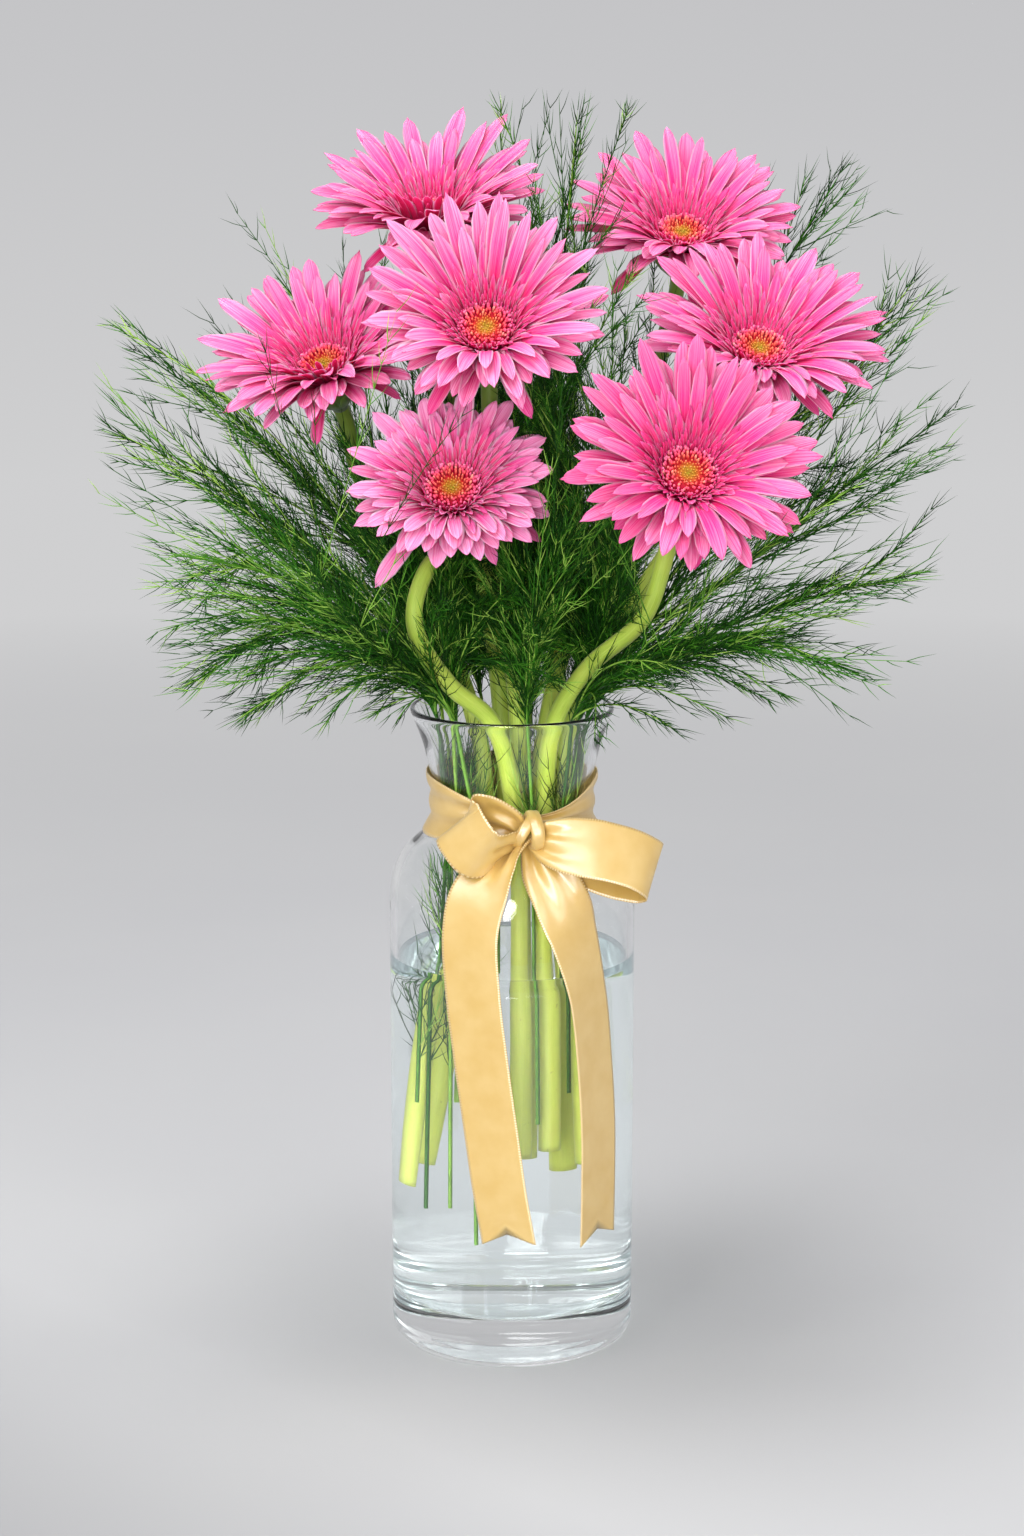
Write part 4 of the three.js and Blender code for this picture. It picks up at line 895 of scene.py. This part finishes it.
def glass_radius(height):
    """The vase's outer radius, from its straight wall up."""
    line = profile(OUTSIDE)
    line = line[line[:, 1] > 100]
    return np.interp(height, line[:, 1], line[:, 0])


def add_band(piece):
    """The band round the neck, drawn into folds towards the knot."""
    turn = np.linspace(0, TAU, 161)[:-1, None]
    front = np.clip(-np.sin(turn + math.atan(X / Y)), 0, 1) ** 3
    s = np.linspace(-1, 1, ACROSS)
    height = BAND_HEIGHT - BAND_DROP * front + 0.6 * np.sin(3 * turn)
    height = height + s * (BAND_HALF_WIDTH - BAND_GATHER * front)
    fold = np.sin(np.pi * 2.4 * (s + 1) + 1.1 * np.sin(2 * turn + 0.6)) + 1
    fold = (1.1 + 1.3 * front) * fold / 2
    radius = glass_radius(height) + 0.4 + fold + 0.35 * (1 + np.sin(5 * turn) * s)
    spin = turn + 0 * s
    place = np.stack([radius * np.cos(spin), radius * np.sin(spin), height], -1)
    skin = np.stack([np.cos(spin), np.sin(spin), 0 * spin], -1) * CLOTH
    add_sheet(piece, place, skin, np.linspace(0, TAU, len(turn) + 1) * BAND_RADIUS, closed=True)
    return TAU * BAND_RADIUS


def make_ribbon():
    """The bow, and the length of ribbon in it."""
    piece = Piece()
    total = add_band(piece)
    for name, stations in STRIPS.items():
        total += strip(piece, stations, TAIL_NOTCH if "tail" in name else 0, total)
    # The knot: the ribbon, rolled lengthways, goes over the front, and again slantwise beside that.
    turn = np.linspace(-2.5, 2.5, KNOT_POINTS)
    for shift, lean, bow_out, size, roll in KNOT_TURNS:
        middle = np.stack([X + shift + lean * 8 * np.sin(turn) + bow_out * np.cos(turn),
                           Y - 3.4 - size * 8.6 * np.cos(turn), Z + size * 7.8 * np.sin(turn)], 1)
        side = np.tile(unit(vec(1, 0, -lean)), (KNOT_POINTS, 1))
        along = total + np.linspace(0, length_of(middle), KNOT_POINTS)
        total += cloth(piece, middle, side, np.ones(KNOT_POINTS), along, roll=roll)
    return piece, total


# ---- Asparagus fern ----

# How far the sprays reach to the left and to the right, as (height, x), and the heights looked up in it.
FERN_OUTLINE = (
    [(250, -86), (262, -118), (276, -142), (330, -148), (377, -169), (420, -169), (470, -120), (510, -76)],
    [(250, 80), (262, 98), (283, 150), (323, 170), (387, 185), (440, 178), (480, 146), (510, 104)],
)
OUTLINE_FROM, OUTLINE_TO = 250, 540
FERN_MARGIN = 7  # how far it may pass the solids' box
# Below the rim it stays within that radius. The free part of a spray starts a little higher.
RIM_HEIGHT, RIM_ROOM, FREE_FROM = 259, 44, 262
MIDDLE = (0, 0, 320)
NECK_LOW, NECK_LOW_LEFT, NECK_MIDDLE, NECK_TOP = 205, 120, 226, 262
# Where the ends of the shoots that fill the middle fall, as ranges of x, y and z. In the first two x is
# towards the spray's own side.
FRONT_ENDS = (-24, 62), (-58, -4), (282, 372)
BACK_ENDS = (-24, 62), (8, 92), (296, 450)
BETWEEN_HEADS = (-28, 16), (-36, -14), (350, 404)
BELOW_LEFT_HEAD = (-72, -40), (-16, 8), (330, 380)


class Room:
    """What the fern must not pass through."""

    def __init__(self, *pieces):
        points, faces, count = [], [], 0
        for piece in pieces:
            p, f, _ = piece.data()
            points.append(p)
            faces += [[int(i) for i in face if i >= 0] for face in f + np.where(f < 0, 0, count)]
            count += len(p)
        self.tree = BVHTree.FromPolygons(np.concatenate(points).tolist(), faces)
        self.low, self.high = (np.array(c) / MM for c in cad_box)
        heights = np.arange(OUTLINE_FROM, OUTLINE_TO)
        self.left, self.right = (np.interp(heights, *zip(*side)).tolist() for side in FERN_OUTLINE)

    def free(self, a, b):
        """True if nothing lies between two points, and the second is inside the spray's own outline."""
        x, y, z = b.tolist()
        if y < self.low[1] - FERN_MARGIN or y > self.high[1] + FERN_MARGIN:
            return False
        if z > self.high[2] + FERN_MARGIN or (z < RIM_HEIGHT and x * x + y * y > RIM_ROOM**2):
            return False
        row = int(z) - OUTLINE_FROM
        if z > OUTLINE_FROM and not self.left[row] < x < self.right[row]:
            return False
        way = b - a
        reach = float(np.linalg.norm(way))
        return self.tree.ray_cast(a.tolist(), way.tolist(), reach + 0.4)[0] is None

    def cut(self, line):
        """The line as far as it is free."""
        for i in range(len(line) - 1):
            if not self.free(line[i], line[i + 1]):
                return line[: i + 1]
        return line


def lean_from(axis, lean, spin):
    """A direction at an angle of lean from the axis, spun round it."""
    side = unit(np.cross(axis, vec(0.3, 0.2, 1)))
    spun = math.cos(spin) * side + math.sin(spin) * np.cross(axis, side)
    return math.cos(lean) * axis + math.sin(lean) * spun


def bowed(root, way, axis, length, count, pull, sag, rng):
    """A shoot that starts one way and bends towards an axis, with a little wander."""
    t = np.linspace(0, 1, count)[:, None]
    wander = rng.normal(0, 0.03, 3)
    return root + length * (t * way + t**2 * (pull * axis + vec(0, 0, sag) + wander))


def long_shoot(root, start, end, count=16):
    """A shoot that leaves one way and arcs to its end."""
    t = np.linspace(0, 1, count)[:, None]
    knee = root + start * 0.5 * np.linalg.norm(end - root)
    return (1 - t) ** 2 * root + 2 * t * (1 - t) * knee + t**2 * end


class Spray:
    """A spray of fern: tapered three-sided shoots, gathered by their number of points."""

    def __init__(self, path, longest, room, rng):
        self.path, self.longest, self.room, self.rng = path, longest, room, rng
        self.shoots, self.axes = {}, []
        over = spaced(spline(path[1:], np.linspace(0, 1, 300)), 121)
        self.over = over[np.argmax(over[:, 2] > FREE_FROM):]

    def add(self, line, radii, needle, tone):
        self.shoots.setdefault(len(line), []).append((line, radii, (needle, tone, 0, 0)))

    def needles(self, line, count, size, tone):
        """Hair-fine needles in ones to threes along a twig, swept forward."""
        rng, n = self.rng, len(line)
        for k in range(count):
            where = (k + rng.uniform(0.2, 0.8)) / count * (n - 1)
            i = min(int(where), n - 2)
            root = line[i] + (line[i + 1] - line[i]) * (where - i)
            axis = unit(line[i + 1] - line[i])
            spin = rng.uniform(0, TAU)
            for j in range(rng.integers(1, 4)):
                way = lean_from(axis, math.radians(rng.uniform(12, 40)), spin + j * 2.1)
                length = size * rng.uniform(0.5, 1.5)
                tip = root + way * length + axis * rng.uniform(0.1, 0.4) * length
                if self.room.free(root, tip):
                    hair = np.array([root, root + way * length * 0.5, tip])
                    self.add(hair, [0.2, 0.18, 0], 1, min(1, max(0, tone + rng.normal(0, 0.12))))

    def twig(self, root, axis, length, thick=0.3, pace=4.2):
        """A side twig with needles, one every pace millimetres. Now and then one is much paler."""
        rng = self.rng
        way = lean_from(axis, math.radians(rng.uniform(12, 38)), rng.uniform(0, TAU))
        line = self.room.cut(bowed(root, way, axis, length, 6, 0.25, rng.uniform(-0.16, 0.12), rng))
        if len(line) < 2:
            return
        tone = rng.uniform(0.75, 1) if rng.random() < 0.16 else rng.uniform(0, 0.6)
        self.add(line, np.linspace(thick, 0.15, len(line)), 0.3, tone)
        self.needles(line, max(2, int(length_of(line) / pace)), min(13, 6 + 0.18 * length), tone)

    def grow(self, root, way, end, size, bare):
        """A long shoot that bears twigs of that size beyond its bare share."""
        shoot = self.room.cut(long_shoot(root, way, end))
        if len(shoot) > 4:
            self.add(shoot, np.linspace(0.55, 0.25, len(shoot)), 0, self.rng.random())
            self.axes.append((shoot, size, bare))

    def stem(self):
        line = np.concatenate([self.path[:2], spaced(self.over, 24)])
        self.add(line, np.linspace(1.0, 0.35, len(line)), 0, self.rng.random())
        self.axes.append((self.over, 0.9, 0.1))

    def broom(self):
        """Long shoots leave low down and run with the main stem. Fewer do where the spray reaches far."""
        rng, over, x = self.rng, self.over, self.path[-1][0]
        for k in range(8 if x > 100 else 10 if x < -100 else 13):
            i = int(rng.uniform(0.02, 0.55) * (len(over) - 4))
            axis, far = unit(over[i + 1] - over[i]), over[-1] - over[i]
            reach = rng.uniform(0.8, 1.02) if k % 4 == 0 else rng.uniform(0.34, 0.8)
            end = over[i] + far * reach + rng.normal(0, 0.15, 3) * np.linalg.norm(far)
            way = lean_from(axis, math.radians(rng.uniform(4, 22)), rng.uniform(0, TAU))
            self.grow(over[i], way, end, 0.7, 0.12)

    def fill(self):
        """Others stand up among the stems and fill the middle, down to the rim."""
        rng, over = self.rng, self.over
        x, y, _ = self.path[2]
        front = y < 5

        def within(box):
            return vec(*(rng.uniform(*ends) for ends in box))

        for k in range(26 if front else 15):
            i = rng.integers(0, max(2, len(over) // 7))
            side = np.sign(x) if abs(x) > 12 else rng.choice([-1, 1])
            end = within(FRONT_ENDS if front else BACK_ENDS) * (side, 1, 1)
            if front and k % 4 == 0:
                end = within(BETWEEN_HEADS)
            elif front and side < 0 and k % 4 == 2:
                end = within(BELOW_LEFT_HEAD)
            self.grow(over[i], unit(vec(0, 0, 1) + 0.3 * unit(over[i + 1] - over[i])), end, 0.6, 0.04)

    def clothe(self):
        """Twigs on every axis, closer near the middle of the bouquet than towards the tips."""
        rng = self.rng
        for line, size, bare in self.axes:
            real = length_of(line)
            fine = spaced(line, max(8, int(real)))
            at = bare
            while at < 1:
                i = min(int(at * (len(fine) - 1)), len(fine) - 2)
                axis = unit(fine[i + 1] - fine[i])
                out = min(1, max(0, (np.linalg.norm(fine[i] - MIDDLE) - 60) / 90))
                length = self.longest * size * (0.24 + 0.5 * (1 - at)) * rng.uniform(0.5, 1.2)
                self.twig(fine[i], axis, length, pace=4.2 + 2 * out)
                at += (4.4 + 9.5 * out) * rng.uniform(0.6, 1.4) / real
            self.needles(fine[int(len(fine) * 0.5):], int(real / 7), 9, rng.uniform(0, 0.8))

    def wisps(self):
        """Thin wisps run on past the twigs. In front some stand up before the petals."""
        rng, over, before = self.rng, self.over, self.path[-1][1] < -50
        for k in range(20 if before else 14):
            i = int(rng.uniform(0.3, 0.95) * (len(over) - 2))
            axis = unit(over[i + 1] - over[i])
            way = lean_from(axis, math.radians(rng.uniform(6, 34)), rng.uniform(0, TAU))
            far = rng.uniform(34, 74)
            if before and k > 12:
                axis = way = unit(vec(rng.uniform(-0.7, 0.7), rng.uniform(-0.5, 0.1), 1))
                far = rng.uniform(60, 120)
            wisp = self.room.cut(bowed(over[i], way, axis, far, 12, 0.3, rng.uniform(-0.35, 0.2), rng))
            if len(wisp) > 3:
                tone = rng.uniform(0.1, 0.9)
                self.add(wisp, np.linspace(0.3, 0.15, len(wisp)), 0.2, tone)
                self.needles(wisp, int(length_of(wisp) / 7), 9, tone)

    def neck(self):
        """Loose twigs in the neck, and on the left also down in the water."""
        foot, neck = vec(*self.path[0]), vec(*self.path[1])
        low = NECK_LOW_LEFT if neck[0] < -20 and neck[1] < 10 else NECK_LOW
        for height in [*np.arange(low, NECK_MIDDLE, 7), *np.arange(NECK_MIDDLE, NECK_TOP, 2.4)]:
            if height < neck[2]:
                root = foot + (neck - foot) * (height - foot[2]) / (neck[2] - foot[2])
            else:
                root = self.over[0] if height > 255 else neck
            self.twig(root, vec(0, 0, 1), self.rng.uniform(14, 34), 0.28, 7)

    def piece(self):
        """All the shoots as one mesh. Each ends in a point."""
        piece = Piece()
        turn = (np.arange(3) * TAU / 3)[:, None]
        for n, shoots in self.shoots.items():
            line, radii, marks = (np.array(column) for column in zip(*shoots))
            a, b = frames(line)
            ring = a[:, :, None] * np.cos(turn) + b[:, :, None] * np.sin(turn)
            rings = line[:, :, None] + radii[..., None, None] * ring
            points = np.concatenate([rings[:, :-1].reshape(len(line), -1, 3), line[:, -1:]], 1)
            size, last = 3 * (n - 1) + 1, 3 * (n - 2)
            cap = [(last + k, last + (k + 1) % 3, size - 1, -1) for k in range(3)]
            faces = np.concatenate([grid(n - 1, 3, True), cap])
            faces = np.where(faces < 0, -1, faces + (np.arange(len(line)) * size)[:, None, None])
            piece.add(points, faces, np.repeat(marks, size, axis=0))
        return piece


def make_fern(path, longest, room, rng):
    spray = Spray(path, longest, room, rng)
    for step in (spray.stem, spray.broom, spray.fill, spray.clothe, spray.wisps, spray.neck):
        step()
    return spray.piece()


# ---- Put together ----

draw, rng = dice(SEED), np.random.default_rng(SEED)
petal_skin, disc_skin, stem_skin = petal_look(), disc_look(), stem_look()
solids = []
for i, flower in enumerate(FLOWERS, 1):
    for kind, made, skin, slot in (
            ("stem", make_stem(flower, rng), stem_skin, "stem_green"),
            ("petals", make_petals(flower, draw, rng), petal_skin, "petal_pink"),
            ("disc", make_disc(flower, rng), disc_skin, "disc_coral")):
        solids.append(made)
        made.build(f"gerbera_{kind}_{i}", skin, slot, f"{kind}_{i}")

vase = make_vase()
vase.build("glass_vase", glass_look(), "glass", "vase")
make_water().build("vase_water", water_look(), "water", "water")
ribbon, ribbon_length = make_ribbon()
bow = ribbon.build("satin_bow", satin_look(), "satin", "ribbon")

room = Room(vase, ribbon, *solids)
fern_skin = fern_look()
for i, (path, longest) in enumerate(FERNS, 1):
    fern = make_fern(path, longest, room, np.random.default_rng(100 + i))
    fern.build(f"fern_spray_{i:02d}", fern_skin, "fern_green", f"fern_{i:02d}")

# ---- Studio ----

PAPER_FLAT, PAPER_BEND, PAPER_TOP, PAPER_SIDES = 3.0, 1.2, 3.2, 96
# Round soft lamps: name, place, width, watts, and the point that each faces.
LAMPS = [
    ("key", (-1.3, -1.6, 1.9), 1.8, 39, (0, 0, 0.3)),
    ("fill", (1.2, -2.0, 1.2), 1.6, 20, (0, 0, 0.3)),
    ("front", (-0.3, -2.4, 0.5), 1.0, 34, (0, 0, 0.35)),
    ("top", (-0.1, 0.0, 2.3), 0.9, 27, (0, 0, 0.3)),
]
SKY_TINT, SKY_STRENGTH = (0.97, 0.98, 1, 1), 0.6
# The camera as fitted to the photo. It looks down by that many degrees.
CAMERA_PLACE, CAMERA_DOWN, CAMERA_LENS, CAMERA_WIDTH = (0, -1.298, 0.516), 12, 76.73, 36
CLEAR_BOUNCES, GLOSS_BOUNCES = 32, 12


def paper_look():
    """Away from the middle the paper has lamps of its own: it glows evenly, darker higher up and in front."""
    look = Look("backdrop_paper", Roughness=0.9, Specular_IOR_Level=0.1)
    place = look.place()
    x, y, z = look.node("SeparateXYZ", {0: place}).outputs
    away = look.node("VectorMath", {0: place}, operation="LENGTH").outputs["Value"]
    glow = look.span(away, 0.7, 1.9)
    tone = look.ramp(look.span(z, 0.0, 2.0), (0.0, 204, 204, 205), (0.25, 196, 196, 198),
                     (0.6, 187, 187, 189), (1.0, 181, 181, 183))
    grain = look.noise(place, 3.0, 4.0)
    floor = look.mix(look.span(grain, 0.3, 0.7), (178, 178, 180), (181, 181, 182))
    # Towards the front left the floor is darkened: painted shade.
    corner = look.span(look.math("ADD", x, y), -0.42, -0.16, 0.42, 0.0)
    look.set("Base Color", look.mix(glow, look.mix(corner, floor, (96, 96, 98)), (30, 30, 30)))
    look.set("Emission Color", tone)
    look.set("Emission Strength", look.times(glow, look.span(y, -3.0, -0.8, 0.85, 1.0)))
    return look.material


def studio():
    """A pale seamless bowl, open at the top."""
    turn = np.arange(PAPER_SIDES) * TAU / PAPER_SIDES
    curve = [(r, 0) for r in (0.6, 1.2, 2, PAPER_FLAT)]
    curve += [(PAPER_FLAT + PAPER_BEND * math.sin(a), PAPER_BEND * (1 - math.cos(a)))
              for a in np.linspace(0.1, math.pi / 2, 12)]
    curve.append((PAPER_FLAT + PAPER_BEND, PAPER_TOP))
    rings = np.array([np.stack([r * np.cos(turn), r * np.sin(turn), z + 0 * turn], 1) for r, z in curve])
    points = [*rings.reshape(-1, 3).tolist(), (0, 0, 0)]
    fan = [(len(points) - 1, k, (k + 1) % PAPER_SIDES) for k in range(PAPER_SIDES)]
    mesh = bpy.data.meshes.new("backdrop")
    mesh.from_pydata(points, [], [f[::-1] for f in grid(len(curve), PAPER_SIDES, True).tolist()] + fan)
    mesh.shade_smooth()
    made = bpy.data.objects.new("backdrop", mesh)
    bpy.context.scene.collection.objects.link(made)
    mesh.materials.append(paper_look())


def lamp(name, place, size, power, aim):
    data = bpy.data.lights.new(name, "AREA")
    data.shape, data.size, data.energy = "DISK", size, power
    made = bpy.data.objects.new(name, data)
    made.location = place
    made.rotation_euler = (Vector(aim) - Vector(place)).to_track_quat("-Z", "Y").to_euler()
    made.visible_camera = False
    bpy.context.scene.collection.objects.link(made)


studio()
for row in LAMPS:
    lamp(*row)

world = bpy.data.worlds.new("studio")
bpy.context.scene.world = world
world.use_nodes = True
sky = world.node_tree.nodes["Background"].inputs
sky[0].default_value, sky[1].default_value = SKY_TINT, SKY_STRENGTH

camera = bpy.data.objects.new("camera", bpy.data.cameras.new("camera"))
camera.data.lens, camera.data.sensor_width = CAMERA_LENS, CAMERA_WIDTH
camera.location, camera.rotation_euler = CAMERA_PLACE, (math.radians(90 - CAMERA_DOWN), 0, 0)
bpy.context.scene.collection.objects.link(camera)
bpy.context.scene.camera = camera
bpy.context.scene.view_settings.view_transform = "Standard"
cycles = bpy.context.scene.cycles
cycles.max_bounces = cycles.transmission_bounces = cycles.transparent_max_bounces = CLEAR_BOUNCES
cycles.glossy_bounces = GLOSS_BOUNCES
